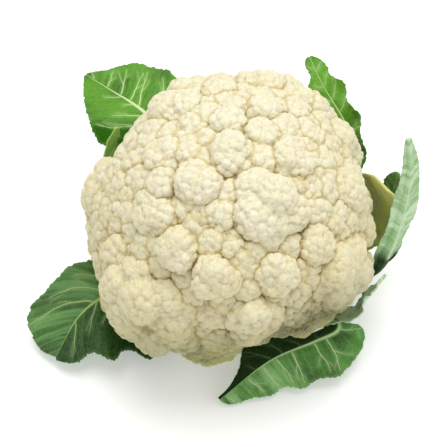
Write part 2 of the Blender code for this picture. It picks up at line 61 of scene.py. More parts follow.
# The large florets: turn, tilt, radius in mm, and how far each stands out of the dome in mm.
FLORETS = (
    (-63, 39, 25, 7), (-21, 29, 15, 3), (-84, 13, 15, 3), (90, 3, 12, 2), (-8, 14, 12, 1),
    (43, 21, 12, 1), (136, 32, 19, 3), (-117, 28, 15, 4), (-163, 29, 14, 2), (-141, 36, 11, 2),
    (-134, 47, 15, 3), (173, 79, 25, 4), (175, 79, 12, 1), (-171, 92, 16, 0), (-123, 89, 36, 10),
    (-114, 55, 13, 6), (-95, 62, 14, 8), (-142, 73, 15, 2), (-146, 109, 17, 2), (-80, 83, 19, 5),
    (-101, 124, 19, 4), (-69, 64, 14, 4), (-83, 58, 11, -2), (-38, 84, 27, 8), (-20, 100, 15, 4),
    (-47, 61, 13, 4), (-7, 59, 19, 3), (-45, 111, 19, 0), (-5, 88, 18, 2), (-105, 45, 14, -3),
    (-90, 49, 12, -4), (25, 64, 21, 3), (52, 51, 20, 3), (69, 46, 20, 4), (98, 29, 13, 1),
    (114, 47, 17, 2), (41, 55, 18, 2), (-137, 114, 16, 2), (-30, 42, 12, -2), (103, 66, 23, 2),
    (138, 70, 20, 1), (162, 92, 20, 0), (70, 84, 23, 0), (38, 88, 22, 0), (107, 98, 20, -1),
    (-172, 108, 17, -5), (140, 102, 19, 0), (75, 110, 18, -2), (25, 108, 18, -2), (-14, 110, 17, -2),
    (8, 84, 18, 0),
)
# Small florets fill the gaps between the large ones, and still smaller ones, which the solids leave out,
# stand lower in what gaps remain. For each: the least depth of gap, the lowest tilt, how much larger than
# a gap's depth a floret is, its radius, how far it sinks, the room it keeps, and the most of them.
Filling = namedtuple("Filling", "gap tilt growth radius sink room most")
GAPS = Filling(6.0 * MM, 108.0, 6.0 * MM, (8.5 * MM, 14.0 * MM), sink=1.5 * MM, room=0.0, most=999)
FILLS = Filling(3.4 * MM, 100.0, 5.5 * MM, (6.5 * MM, 11.0 * MM), sink=2.6 * MM, room=2.6 * MM, most=160)
GAP_SAMPLES = 1800
PLAIN_FLORET = 12.5 * MM

# Lobes on a floret: number, size, spacing, how far down they go, how much flatter than cushions they
# lie, and the step of their tones.
SEED = 7
BASE_SHARE = 0.84
FEWEST_LOBES = 5
LOBE_SHARE = 0.42
LOBE_LEAST = 3.0 * MM
LOBE_MOST = 11.5 * MM
LOBE_SPACING = 1.5
LOBE_TILT = 112.0
LOBE_DEPTH = 0.92
LOBE_SIZES = (0.86, 1.14)
LOBE_UNEVEN = 0.05
LOBE_FLATNESS = 0.9
LOBE_TONES = 2.4
# How squarely florets, lobes, knobs and buds are pressed together: 2 is a ball, more is a cushion.
FLORET_PRESS = 2.7
LOBE_PRESS = 2.8
BUMP_PRESS = 2.3
# Knobs on a lobe and buds on a knob: the least distance between two, their radius and relief, and how
# wide the painted shade of the crease between them runs.
Bumps = namedtuple("Bumps", "apart radius relief crease")
KNOBS = Bumps(apart=4.6 * MM, radius=5.0 * MM, relief=0.95, crease=0.3 * MM)
BUDS = Bumps(apart=2.0 * MM, radius=2.2 * MM, relief=0.7, crease=0.14 * MM)
BUD_CREASE = 0.7
BUMP_SIZES = (0.88, 1.12)
BUMP_LOWEST = 0.5
# The skin's cell on a floret, its fewest cells across, and where the edges' common point lies inside.
FLORET_CELL = 0.64 * MM
FEWEST_CELLS = 24
INNER_POINT = 0.2
# The widest cap that the skin covers, as a tilt from the floret's axis, and how its edge is found.
CAP_LEAST = 48.0
CAP_MOST = 118.0
CAP_FIRST = 20.0
CAP_TILT_STEP = 4.0
CAP_TURN_STEP = 12.0
CAP_SUNK = 1.5 * MM
CAP_SPARE = 6.0
# Neighbours: how far a floret's lobes may stand out of its radius, how much room counts as near, and
# what stands for the distance where none is near.
LOBES_STAND = 1.08
NEAR = 2.0 * MM
NONE_NEAR = 9.0 * MM
# How far inside another floret a cell of skin is left out; how wide the painted shade of a crevice
# runs, how strong it is at the dome, and how deep it has its full strength; how wide the painted shade
# of a lobe's crease runs; and how many small florets make a piece.
HIDDEN_DEPTH = 2.7 * MM
CREVICE_WIDTH = 0.75 * MM
CREVICE_SHALLOW = 0.62
CREVICE_SUNK = (2 * MM, 12 * MM)
LOBE_CREASE = 0.35 * MM
SMALL_IN_PIECE = 24
# The bed of sunken buds that closes the gaps between florets, in the crevices' painted shade.
BED_DEPTH = 7.5 * MM
BED_GRID = (90, 150)
BED_TILT = 116.0
BED_CREVICE = 0.7
BED_BUMPS = Bumps(apart=7.0 * MM, radius=7.6 * MM, relief=0.8, crease=0.8 * MM)

# The branches under the florets below a tilt run to a fork in the neck; ridges are a number and a height.
BRANCH_TILT = 74
BRANCH_FORK = 55.0 * MM
BRANCH_RADIUS = 6.5 * MM
BRANCH_SHARE = 0.8
BRANCH_TAPER = (-0.2, 0.8)
BRANCH_RIDGES = (5, 0.03)
BRANCH_GRID = (14, 28)
# Painted shade on the curd, where its own florets or a leaf shade it: turn, tilt and spread in degrees,
# and how dark it is.
SHADES = (
    (-47, 97, 11, 1.0), (-58, 96, 14, 1.0), (-68, 97, 12, 1.0), (-89, 94, 8, 0.7), (-73, 113, 14, 0.9),
    (-104, 106, 18, 0.55), (-34, 106, 14, 0.9),
)
# What the curd's points carry where nothing else is known of them.
PLAIN_FIELDS = {"lobe_crease": 0.0, "crease": 0.0, "tone": 0.5, "crevice": 0.0, "stem": 0.0, "shade": 0.0}
# The heart that the branches leave, from below the neck to its top: radius and height in mm.
CORE_PROFILE = (
    (0, 37.6), (19, 38), (20.5, 42), (26, 49), (36, 50), (50, 59), (60, 72), (64, 86), (62, 104), (53, 122),
    (37, 135), (0, 143),
)
CORE_GRID = (60, 96)
CORE_RIDGES = (7, 0.02)
CORE_RIDGED = (0.12, 0.04)


def direction(turn, tilt):
    """The unit vector of a turn about +Z from +X and a tilt down from +Z, in degrees."""
    turn, tilt = np.broadcast_arrays(np.radians(turn), np.radians(tilt))
    return np.stack([np.sin(tilt) * np.cos(turn), np.sin(tilt) * np.sin(turn), np.cos(tilt)], axis=-1)


def unit_rows(rows):
    """Each row scaled to length one."""
    return rows / np.linalg.norm(rows, axis=-1, keepdims=True)


def smooth_step(low, high, value):
    """0 below low, 1 above high, and 3t^2 - 2t^3 between them."""
    share = np.clip((value - low) / (high - low), 0, 1)
    return share * share * (3 - 2 * share)


def bells(ways, spots, unit=1.0):
    """For each spot, its amount times a bell of the angle from it: exp(-(angle / spread)^2)."""
    for turn, tilt, spread, amount in spots:
        apart = np.degrees(np.arccos(np.clip(ways @ direction(turn, tilt), -1, 1)))
        yield amount * unit * np.exp(-((apart / spread) ** 2))


def dome_reach(ways):
    """How far the dome is from its centre along each unit vector: a half egg above, a half egg below,
    with each swell added as a bell of the angle from its middle."""
    height = np.where(ways[..., 2] >= 0, CURD_RISE, CURD_DROP)
    scaled = (ways[..., 0] / CURD_HALF_WIDTH, ways[..., 1] / CURD_HALF_DEPTH, ways[..., 2] / height)
    return sum(bells(ways, SWELLS, MM), 1.0 / np.linalg.norm(scaled, axis=0))


def spiral(count, lowest):
    """Unit vectors in a golden spiral round +Z, evenly spread down to the given height."""
    step = np.arange(count)
    height = 1 - (step + 0.5) / count * (1 - lowest)
    ring = np.sqrt(1 - height**2)
    return np.stack([ring * np.cos(step * GOLDEN_TURN), ring * np.sin(step * GOLDEN_TURN), height], axis=-1)


Floret = namedtuple("Floret", "centre radius axis turn lobes sizes")
NO_LOBES = (np.zeros((0, 3)), np.zeros(0))


def all_florets():
    """The solids' florets: the listed ones, then small ones wherever the dome gapes, with their lobes."""
    florets = []
    for turn, tilt, radius, stand in FLORETS:
        axis = direction(turn, tilt)
        florets.append((axis * (dome_reach(axis) + (stand - radius) * MM), radius * MM, axis))
    axes, surface = dome_points(GAP_SAMPLES, GAPS.tilt)
    gap = np.min([np.linalg.norm(surface - centre, axis=1) - radius for centre, radius, _ in florets], axis=0)
    florets += fill(axes, surface, gap, GAPS)
    draw = np.random.default_rng(SEED)
    grown = []
    for centre, radius, axis in florets:
        draw.uniform(0, 2 * math.pi, 3)
        lobes, sizes = lobes_of(radius, draw) if radius >= PLAIN_FLORET else NO_LOBES
        draw.uniform(0, 2 * math.pi, 3 * len(sizes))
        grown.append(Floret(CURD_MIDDLE + centre, radius, axis, frame_about(axis), lobes, sizes))
    return grown


def pressed(ahead):
    """The reach of a floret of radius one, pressed square by its neighbours, at a tilt off its axis.

    The tilt is given by its cosine. It is a superellipse's reach over the front half, and a ball's over
    the back half.
    """
    ahead = np.clip(ahead, 0, 1)
    aside = np.sqrt(1 - ahead**2)
    return (ahead**FLORET_PRESS + aside**FLORET_PRESS) ** (-1 / FLORET_PRESS)


def reach_along(floret, ways):
    """A floret's reach along unit vectors about its centre and axis, and its lobes' crease and tone there.

    The lobes are cushions: along each vector the furthest one's far side is taken, then drawn towards
    the floret's round outline. The whole is pressed square.
    """
    reach, crease, tone = np.full(len(ways), floret.radius), np.zeros(len(ways)), np.zeros(len(ways))
    if len(floret.lobes):
        ahead = ways @ floret.lobes.T
        beside = np.sqrt(np.clip(np.sum(floret.lobes**2, axis=1) - ahead**2, 0, None))
        rise = floret.sizes * cushion(beside / floret.sizes, LOBE_PRESS)
        far = np.where(beside < floret.sizes, ahead + rise, 0.0)
        owner = far.argmax(axis=1)
        rows = np.arange(len(ways))
        best = far[rows, owner]
        far[rows, owner] = 0.0
        crease = np.exp(-(best - far.max(axis=1)) / LOBE_CREASE)
        reach = reach + (np.maximum(best, BASE_SHARE * floret.radius) - floret.radius) * LOBE_FLATNESS
        tone = np.sin(owner * LOBE_TONES)
    return reach * pressed(ways[:, 2]), crease, tone


def outside(points, floret):
    """How far points stand out of a floret: the distance from its centre less its reach that way."""
    local = (points - floret.centre) @ floret.turn.T
    distance = np.maximum(np.linalg.norm(local, axis=1), 1e-9)
    return distance - reach_along(floret, local / distance[:, None])[0]


def near_florets(number, florets, room):
    """The other florets that come within a given distance of a floret."""
    here = florets[number]
    near = []
    for place, floret in enumerate(florets):
        most = LOBES_STAND * (floret.radius + here.radius) + room
        if place != number and np.linalg.norm(floret.centre - here.centre) < most:
            near.append(floret)
    return near


def dome_points(count, tilt):
    """Directions spread over the dome down to a tilt, and the dome's points there, from its middle."""
    axes = spiral(count, math.cos(math.radians(tilt)))
    return axes, axes * dome_reach(axes)[:, None]


def fill(axes, surface, gap, filling):
    """Centres, radii and axes of florets that fill the gaps in a surface, deepest gap first."""
    fills = []
    while gap.max() > filling.gap and len(fills) < filling.most:
        pick = int(gap.argmax())
        radius = float(np.clip(gap[pick] + filling.growth, *filling.radius))
        centre = surface[pick] - axes[pick] * (radius + filling.sink)
        fills.append((centre, radius, axes[pick]))
        gap = np.minimum(gap, np.linalg.norm(surface - centre, axis=1) - radius - filling.room)
    return fills


def fill_florets(florets):
    """The low florets in the gaps that are left."""
    axes, surface = dome_points(2 * GAP_SAMPLES, FILLS.tilt)
    surface = CURD_MIDDLE + surface
    gap = np.min([outside(surface, floret) for floret in florets], axis=0)
    fills = fill(axes, surface, gap, FILLS)
    return [Floret(centre, radius, axis, frame_about(axis), *NO_LOBES) for centre, radius, axis in fills]


def frame_about(axis):
    """Three rows: two unit vectors across the axis, and the axis, turning about it as little as can be."""
    x, y, z = axis
    if z < -0.999999:
        return np.array([[1.0, 0.0, 0.0], [0.0, -1.0, 0.0], [0.0, 0.0, -1.0]])
    share = 1 / (1 + z)
    skew = -x * y * share
    return np.array([[1 - x * x * share, skew, -x], [skew, 1 - y * y * share, -y], [x, y, z]])


def lobes_of(radius, draw):
    """Centres and radii of a floret's lobes, about its own centre and axis, in a golden spiral."""
    size = min(LOBE_SHARE * radius + LOBE_LEAST, LOBE_MOST)
    lowest = math.cos(math.radians(LOBE_TILT))
    shell = 2 * math.pi * (1 - lowest) * (radius - LOBE_DEPTH * size) ** 2
    cell = math.sqrt(0.75) * (LOBE_SPACING * size) ** 2
    ways = spiral(max(FEWEST_LOBES, round(shell / cell)), lowest)
    spin = draw.uniform(0, 2 * math.pi)
    cosine, sine = math.cos(spin), math.sin(spin)
    turned = ways @ np.array([[cosine, sine, 0], [-sine, cosine, 0], [0, 0, 1]])
    sizes = size * draw.uniform(*LOBE_SIZES, len(ways))
    reach = radius - LOBE_DEPTH * sizes + draw.uniform(-LOBE_UNEVEN, LOBE_UNEVEN, len(ways)) * radius
    return turned * reach[:, None], sizes


def disc_grid(count):
    """A square grid bent onto a disc, its concentric squares made concentric circles: distance and turn."""
    step = np.linspace(-1, 1, count)
    a, b = np.meshgrid(step, step, indexing="ij")
    wide = np.abs(a) >= np.abs(b)
    safe_a = np.where(wide & (a != 0), a, 1.0)
    safe_b = np.where(~wide, b, 1.0)
    far = np.where(wide, a, b)
    turn = np.where(wide, math.pi / 4 * b / safe_a, math.pi / 2 - math.pi / 4 * a / safe_b)
    return np.abs(far), np.where(far < 0, turn + math.pi, turn)


def cushion(share, press):
    """A cushion's height at a share of its radius from its middle, as radii: (1 - share^press)^(1/press)."""
    return (1 - np.clip(share, 0, 1) ** press) ** (1 / press)


def surface_normals(points, quads, outward):
    """Unit normals at points: the sum of the crosses of the diagonals of the cells around each.

    Where that is next to nothing or doesn't point outwards, the outward direction stands in for it.
    """
    corners = points[quads]
    faces = np.cross(corners[:, 2] - corners[:, 0], corners[:, 3] - corners[:, 1])
    sums = [np.bincount(quads.ravel(), np.repeat(faces[:, k], 4), minlength=len(points)) for k in range(3)]
    total = np.stack(sums, axis=1)
    size = np.linalg.norm(total, axis=1, keepdims=True)
    normal = total / np.maximum(size, 1e-15)
    along = np.sum(normal * outward, axis=1, keepdims=True)
    return np.where((size < 1e-12) | (along < 0.05), outward, normal)


def spread_evenly(points, apart, draw):
    """Numbers of points spread over a surface, each the furthest from all before, while any is that far."""
    points = points.astype(np.float32)
    far = np.full(len(points), np.inf, dtype=np.float32)
    pick = int(draw.integers(len(points)))
    picks = []
    while far[pick] > apart**2:
        picks.append(pick)
        far = np.minimum(far, np.sum((points - points[pick]) ** 2, axis=1))
        pick = int(far.argmax())
    return np.array(picks)


def raise_bumps(points, normals, bumps, draw):
    """Pushes rounded bumps out of a surface, packed evenly over it, and says how near a crease each point is.

    Every bump is a cushion about one point of the surface, over the straight distance to it. The
    highest cushion is taken, and the crease is exp(-lead / width) of its lead over the next.
    """
    picks = spread_evenly(points, bumps.apart, draw)
    radii = (bumps.radius * draw.uniform(*BUMP_SIZES, len(picks))).astype(np.float32)
    here, middles = points.astype(np.float32), points[picks].astype(np.float32)
    lead = 2 * here @ middles.T - np.sum(middles**2, axis=1) + radii**2
    rows = np.arange(len(points))
    owners, tops = [], []
    for _ in range(2):
        owner = lead.argmax(axis=1)
        apart = np.linalg.norm(here - middles[owner], axis=1)
        tops.append(radii[owner] * cushion(apart / radii[owner], BUMP_PRESS))
        owners.append(owner)
        lead[rows, owner] = -1.0
    crease = np.exp(-np.abs(tops[0] - tops[1]) / bumps.crease)
    rise = np.maximum(tops[0], BUMP_LOWEST * bumps.radius) - bumps.radius
    tone = draw.uniform(-1, 1, len(picks))[owners[0]]
    return points + normals * (rise * bumps.relief)[:, None], crease, tone


def widest_cap(number, florets):
    """The tilt from a floret's axis beyond which its ball lies wholly inside other florets, in degrees."""
    floret = florets[number]
    tilts = np.arange(CAP_FIRST, CAP_MOST, CAP_TILT_STEP)
    turns = np.arange(0.0, 360.0, CAP_TURN_STEP)
    ways = direction(turns[None, :], tilts[:, None]).reshape(-1, 3)
    points = floret.centre + (ways * reach_along(floret, ways)[0][:, None]) @ floret.turn
    depth = np.full(len(points), np.inf)
    for other in near_florets(number, florets, 0.0):
        depth = np.minimum(depth, outside(points, other))
    shown = (depth > -CAP_SUNK).reshape(len(tilts), len(turns)).any(axis=1)
    last = tilts[shown].max() if shown.any() else CAP_FIRST
    return float(np.clip(last + CAP_SPARE, CAP_LEAST, CAP_MOST))


def grid_quads(rows, columns):
    """The cells of a grid of points, seen counter-clockwise where rows run right and columns run up."""
    corner = (np.arange(rows - 1)[:, None] * columns + np.arange(columns - 1)).ravel()
    return np.stack([corner, corner + columns, corner + columns + 1, corner + 1], axis=1)


def ring_cells(rows, columns, inside_out=False):
    """The cells of a tube of rings and the fans to its two end points, which come after the rings' points.

    The rings run counter-clockwise as seen from the last one, or clockwise where the tube is inside out.
    """
    grid = np.arange(rows * columns).reshape(rows, columns)
    beside = np.roll(grid, -1, axis=1)
    quads = np.stack([grid[:-1], beside[:-1], beside[1:], grid[1:]], axis=-1).reshape(-1, 4)
    first = np.stack([beside[0], grid[0], np.full(columns, grid.size)], axis=1)
    last = np.stack([grid[-1], beside[-1], np.full(columns, grid.size + 1)], axis=1)
    fans = np.vstack([first, last])
    return (quads[:, [0, 3, 2, 1]], fans[:, [1, 0, 2]]) if inside_out else (quads, fans)


def tube(start, end, start_radius, end_radius):
    """A closed branch between two points, its radius eased from one end's to the other's."""
    rows, steps = BRANCH_GRID
    ahead = unit_rows(end - start)
    turn = np.arange(steps) * 2 * math.pi / steps
    ring = np.stack([np.cos(turn), np.sin(turn), np.zeros(steps)], axis=1) @ frame_about(ahead)
    share = np.linspace(0, 1, rows)[:, None, None]
    girth = start_radius + (end_radius - start_radius) * smooth_step(*BRANCH_TAPER, share)
    ridges, relief = BRANCH_RIDGES
    rings = start + (end - start) * share + ring * girth * (1 + relief * np.sin(ridges * turn))[:, None]
    return np.vstack([rings.reshape(-1, 3), [start], [end]]), *ring_cells(rows, steps)


def curd_fields(count, **known):
    """Stored fields of a curd piece: what is known of its points, then plain values for those left over."""
    fields = {}
    for name, plain in PLAIN_FIELDS.items():
        values = known.get(name, [])
        fields[name] = np.concatenate([values, np.full(count - len(values), plain)])
    return fields


def open_edges(quads):
    """The edges that only one cell has, each in its own cell's direction."""
    edges = np.stack([quads, np.roll(quads, -1, axis=1)], axis=-1).reshape(-1, 2)
    key = edges.min(axis=1) * (quads.max() + 1) + edges.max(axis=1)
    _, first, count = np.unique(key, return_index=True, return_counts=True)
    return edges[first[count == 1]]


def shade_at(ways):
    """How strong the painted shade on the curd is along directions from its middle: the strongest of the
    spots' bells.
    """
    return np.max(list(bells(ways, SHADES)), axis=0)


def floret_shell(number, florets):
    """One floret as a closed shell, with a branch under it if it stands low on the head.

    A square grid is bent onto a disc and wrapped over the floret. Cells well inside other florets are
    left out, and every open edge is joined to one point inside the floret. Knobs stand on the lobes,
    and buds on the knobs. A crevice, in painted shade, is where another floret is near, more so far under the
    dome.
    """
    floret = florets[number]
    widest = math.radians(widest_cap(number, florets))
    count = max(FEWEST_CELLS, 2 * round(widest * floret.radius / FLORET_CELL))
    far, turn = disc_grid(count)
    ways = direction(np.degrees(turn.ravel()), np.degrees(far.ravel() * widest))
    reach, lobe_crease, lobe_tone = reach_along(floret, ways)
    ways = ways @ floret.turn
    points = floret.centre + ways * reach[:, None]
    nearest = np.full(len(points), NONE_NEAR)
    for other in near_florets(number, florets, NEAR):
        nearest = np.minimum(nearest, outside(points, other))
    quads = grid_quads(count, count)
    quads = quads[(nearest > -HIDDEN_DEPTH)[quads].any(axis=1)]
    kept, quads = np.unique(quads, return_inverse=True)
    quads = quads.reshape(-1, 4)
    points, ways, nearest = points[kept], ways[kept], nearest[kept]
    own = np.random.default_rng(1000 + number)
    points, knob_crease, tone = raise_bumps(points, surface_normals(points, quads, ways), KNOBS, own)
    points, bud_crease, _ = raise_bumps(points, surface_normals(points, quads, ways), BUDS, own)
    from_middle = points - CURD_MIDDLE
    distance = np.linalg.norm(from_middle, axis=1)
    ways = from_middle / distance[:, None]
    sunk = smooth_step(*CREVICE_SUNK, dome_reach(ways) - distance)
    beside = np.exp(-np.clip(nearest, 0, None) / CREVICE_WIDTH)
    edges = open_edges(quads)
    fan = np.stack([edges[:, 1], edges[:, 0], np.full(len(edges), len(points))], axis=1)
    fields = curd_fields(
        len(points) + 1,
        lobe_crease=lobe_crease[kept],
        crease=1 - (1 - knob_crease) * (1 - BUD_CREASE * bud_crease),
        tone=0.5 + 0.25 * tone + 0.25 * lobe_tone[kept],
        crevice=np.append(beside * (CREVICE_SHALLOW + (1 - CREVICE_SHALLOW) * sunk), 1.0),
        shade=shade_at(ways),
    )
    points = np.vstack([points, [floret.centre - floret.axis * floret.radius * INNER_POINT]])
    shells = [(points, quads, fan, fields)]
    if math.degrees(math.acos(np.clip(floret.axis[2], -1, 1))) > BRANCH_TILT:
        fork = np.array([0.0, 0.0, BRANCH_FORK])
        points, quads, fan = tube(floret.centre, fork, BRANCH_SHARE * floret.radius, BRANCH_RADIUS)
        shells.append((points, quads, fan, curd_fields(len(points), stem=np.ones(len(points)))))
    return shells


def linked(name, data):
    """A new object in the scene."""
    thing = bpy.data.objects.new(name, data)
    bpy.context.scene.collection.objects.link(thing)
    return thing


def add_piece(name, points, quads, triangles, fields, material, node):
    """Puts a mesh into the scene as a smooth piece that rides on the head and stands for one of its nodes."""
    mesh = bpy.data.meshes.new(name)
    corners = np.concatenate([quads.ravel(), triangles.ravel()]).astype(np.int32)
    sizes = np.concatenate([np.full(len(quads), 4), np.full(len(triangles), 3)])
    starts = np.concatenate([[0], np.cumsum(sizes)[:-1]]).astype(np.int32)
    mesh.vertices.add(len(points))
    mesh.vertices.foreach_set("co", np.ascontiguousarray(points, dtype=np.float32).ravel())
    mesh.loops.add(len(corners))
    mesh.loops.foreach_set("vertex_index", corners)
    mesh.polygons.add(len(sizes))
    mesh.polygons.foreach_set("loop_start", starts)
    mesh.update(calc_edges=True)
    for field, values in fields.items():
        mesh.attributes.new(field, "FLOAT", "POINT").data.foreach_set("value", values.astype(np.float32))
    mesh.materials.append(material)
    mesh.shade_smooth()
    piece = linked(name, mesh)
    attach(piece, "root")
    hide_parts(node)


class Finish:
    """A node material under construction: a Principled surface and short calls that add nodes to it."""

    def __init__(self, name):
        self.material = bpy.data.materials.new(name)
        self.material.use_nodes = True
        self.nodes = self.material.node_tree.nodes
        self.surface = self.nodes["Principled BSDF"]
        self.place = self.nodes.new("ShaderNodeTexCoord").outputs["Object"]

    def put(self, socket, value):
        """Sets a socket to a plain value, or links it to another node's output."""
        if isinstance(value, bpy.types.NodeSocket):
            self.material.node_tree.links.new(value, socket)
        else:
            socket.default_value = value

    def add(self, kind, sockets, **settings):
        """A new node with these settings, and these values or links at its input sockets."""
        node = self.nodes.new("ShaderNode" + kind)
        for name, value in settings.items():
            setattr(node, name, value)
        for socket, value in sockets.items():
            self.put(node.inputs[socket], value)
        return node

    def field(self, name):
        """A value stored on the piece's own points."""
        return self.add("Attribute", {}, attribute_name=name).outputs["Fac"]

    def noise(self, scale, detail=3.0, place=None):
        """Cloudy noise on object coordinates, or on others that are given."""
        sockets = {"Scale": scale, "Detail": detail, "Vector": place or self.place}
        return self.add("TexNoise", sockets).outputs["Fac"]

    def squeezed(self, scale):
        """Object coordinates scaled along each axis."""
        return self.add("Mapping", {"Scale": scale, "Vector": self.place}).outputs["Vector"]

    def streaks(self, run_scale, out_scale):
        """Noise on a leaf's stored distances: along its midrib less the veins' lean, and out from it."""
        run, out = self.times(self.field("run"), run_scale), self.times(self.field("out"), out_scale)
        return self.noise(1.0, place=self.add("CombineXYZ", {0: run, 1: out}).outputs[0])

    def cells(self, scale, feature="F1"):
        """The distance to the nearest of scattered points, or to the edge between their cells."""
        sockets = {"Scale": scale, "Vector": self.place}
        return self.add("TexVoronoi", sockets, feature=feature).outputs["Distance"]

    def math(self, operation, first, second, clamp=False):
        """A sum, product or other operation on two values."""
        return self.add("Math", {0: first, 1: second}, operation=operation, use_clamp=clamp).outputs[0]

    def times(self, first, second, clamp=False):
        """The product of two values."""
        return self.math("MULTIPLY", first, second, clamp)

    def ramp(self, value, low, high, to_low=0.0, to_high=1.0):
        """A value carried smoothly from one range to another, and held at its ends."""
        sockets = {"Value": value, "From Min": low, "From Max": high, "To Min": to_low, "To Max": to_high}
        return self.add("MapRange", sockets, interpolation_type="SMOOTHSTEP").outputs["Result"]

    def blend(self, share, first, second):
        """One colour faded into another."""
        node = self.add("Mix", {"Factor": share}, data_type="RGBA")
        for name, colour in (("A", first), ("B", second)):
            socket = [item for item in node.inputs if item.name == name and item.type == "RGBA"][0]
            self.put(socket, colour if isinstance(colour, bpy.types.NodeSocket) else (*colour, 1.0))
        return [item for item in node.outputs if item.type == "RGBA"][0]

    def height(self):
        """How high a point is, in metres."""
        return self.add("SeparateXYZ", {0: self.place}).outputs["Z"]

    def bump(self, value, strength, distance, **under):
        """Relief from a value, over any relief that is there already, given as Normal."""
        sockets = {"Strength": strength, "Distance": distance, "Height": value, **under}
        return self.add("Bump", sockets).outputs["Normal"]

    def close(self, **values):
        """Sets or links the surface's sockets, an underscore standing for a space in a name."""
        for name, value in values.items():
            self.put(self.surface.inputs[name.replace("_", " ")], value)
        return self.material


# The curd's colours, with its painted light and shade.
CREAM = (0.71, 0.66, 0.44)
WARM_CREAM = (0.70, 0.63, 0.40)
PALE_TONE_AND_TOP_LIGHT_CREAM = (0.79, 0.76, 0.60)
# Painted shade in creases and crevices.
CREASE_SHADE_OLIVE = (0.50, 0.45, 0.21)
CREVICE_SHADE_TAN = (0.60, 0.46, 0.17)
CREVICE_SHADE_OCHRE = (0.36, 0.235, 0.06)
BRANCH_PALE = (0.60, 0.64, 0.38)
# Painted shade low down, with some of the lower florets' own green, and the darker painted shade of the
# spots.
LOW_GREEN_AND_SHADE_CREAM = (0.33, 0.34, 0.095)
SHADE_CREAM = (0.075, 0.085, 0.024)
# The colours laid over the cream one by one: what each follows, where it begins and is full, how much of
# it there is then, and its colour. Height is in metres.
CURD_COATS = (
    ("tone", 0.35, 1.0, 0.6, PALE_TONE_AND_TOP_LIGHT_CREAM),
    # Paler towards the top: painted light from above.
    ("height", 0.11, 0.17, 0.65, PALE_TONE_AND_TOP_LIGHT_CREAM),
    # Darker and greener towards the bottom: painted shade, with some of the lower florets' own green.
    ("height", 0.11, 0.035, 0.85, LOW_GREEN_AND_SHADE_CREAM),
    # Painted shade in the creases between knobs and buds, between lobes, and in the crevices between florets.
    ("crease", 0.3, 1.0, 0.28, CREASE_SHADE_OLIVE),
    ("lobe_crease", 0.2, 1.0, 0.38, CREVICE_SHADE_TAN),
    ("crevice", 0.15, 0.6, 0.55, CREVICE_SHADE_TAN),
    ("crevice", 0.6, 1.0, 0.8, CREVICE_SHADE_OCHRE),
)


def curd_finish():
    """Matt cream buds with painted light on top, painted shade low down, in spots, in tan creases and ochre
    crevices, and pale green branches below.
    """
    finish = Finish("curd_buds")
    colour = finish.blend(finish.ramp(finish.noise(38.0), 0.38, 0.68), CREAM, WARM_CREAM)
    for source, low, high, most, coat in CURD_COATS:
        value = finish.height() if source == "height" else finish.field(source)
        colour = finish.blend(finish.ramp(value, low, high, 0.0, most), colour, coat)
    # Darker painted shade in the listed spots where florets or a leaf shade the curd.
    colour = finish.blend(finish.times(finish.field("shade"), 0.9), colour, SHADE_CREAM)
    colour = finish.blend(finish.field("stem"), colour, BRANCH_PALE)
    # Fine grains: a bump, with tan painted shade in the pits between them.
    cells = finish.cells(800.0)
    return finish.close(
        Base_Color=finish.blend(finish.ramp(cells, 0.45, 0.9, 0.0, 0.28), colour, CREVICE_SHADE_TAN),
        Roughness=0.62,
        Normal=finish.bump(finish.math("SUBTRACT", 1.0, cells), 0.4, 0.0005),
        Subsurface_Weight=0.35,
        Subsurface_Radius=(1.0, 0.75, 0.4),
        Subsurface_Scale=0.003,
        Specular_IOR_Level=0.3,
    )


def make_curd(material):
    """Every large floret as a piece of its own, and the small ones gathered into a few pieces."""
    florets = all_florets()
    florets += fill_florets(florets)
    gathered = []
    for number in range(len(florets)):
        shells = floret_shell(number, florets)
        if number < len(FLORETS):
            add_piece(f"floret_{number + 1:02d}", *joined(shells), material, "curd")
        else:
            gathered += shells
    for first in range(0, len(gathered), SMALL_IN_PIECE):
        name = f"small_florets_{first // SMALL_IN_PIECE + 1}"
        add_piece(name, *joined(gathered[first : first + SMALL_IN_PIECE]), material, "curd")


def joined(shells):
    """Several closed shells as one: points, cells, triangles and stored fields."""
    starts = np.cumsum([0] + [len(shell[0]) for shell in shells[:-1]])
    points = np.vstack([shell[0] for shell in shells])
    quads = np.vstack([shell[1] + start for shell, start in zip(shells, starts)])
    fans = np.vstack([shell[2] + start for shell, start in zip(shells, starts)])
    fields = {field: np.concatenate([shell[3][field] for shell in shells]) for field in shells[0][3]}
    return points, quads, fans, fields


def smooth_path(points, shares):
    """Points on one smooth curve through the given points, at these shares of its length.

    Between two points it is a cubic whose slope at each is that of the line between that one's neighbours.
    """
    points = np.asarray(points, dtype=float)
    ends = np.vstack([2 * points[0] - points[1], points, 2 * points[-1] - points[-2]])
    fine = np.linspace(0, len(points) - 1, PATH_SAMPLES)
    piece = np.minimum(fine.astype(int), len(points) - 2)
    u = (fine - piece)[:, None]
    a, b, c, d = ends[piece], ends[piece + 1], ends[piece + 2], ends[piece + 3]
    bend = (2 * a - 5 * b + 4 * c - d) * u**2 + (3 * b - a - 3 * c + d) * u**3
    curve = 0.5 * (2 * b + (c - a) * u + bend)
    length = np.concatenate([[0], np.cumsum(np.linalg.norm(np.diff(curve, axis=0), axis=1))])
    return np.stack([np.interp(shares * length[-1], length, curve[:, k]) for k in range(3)], axis=-1)


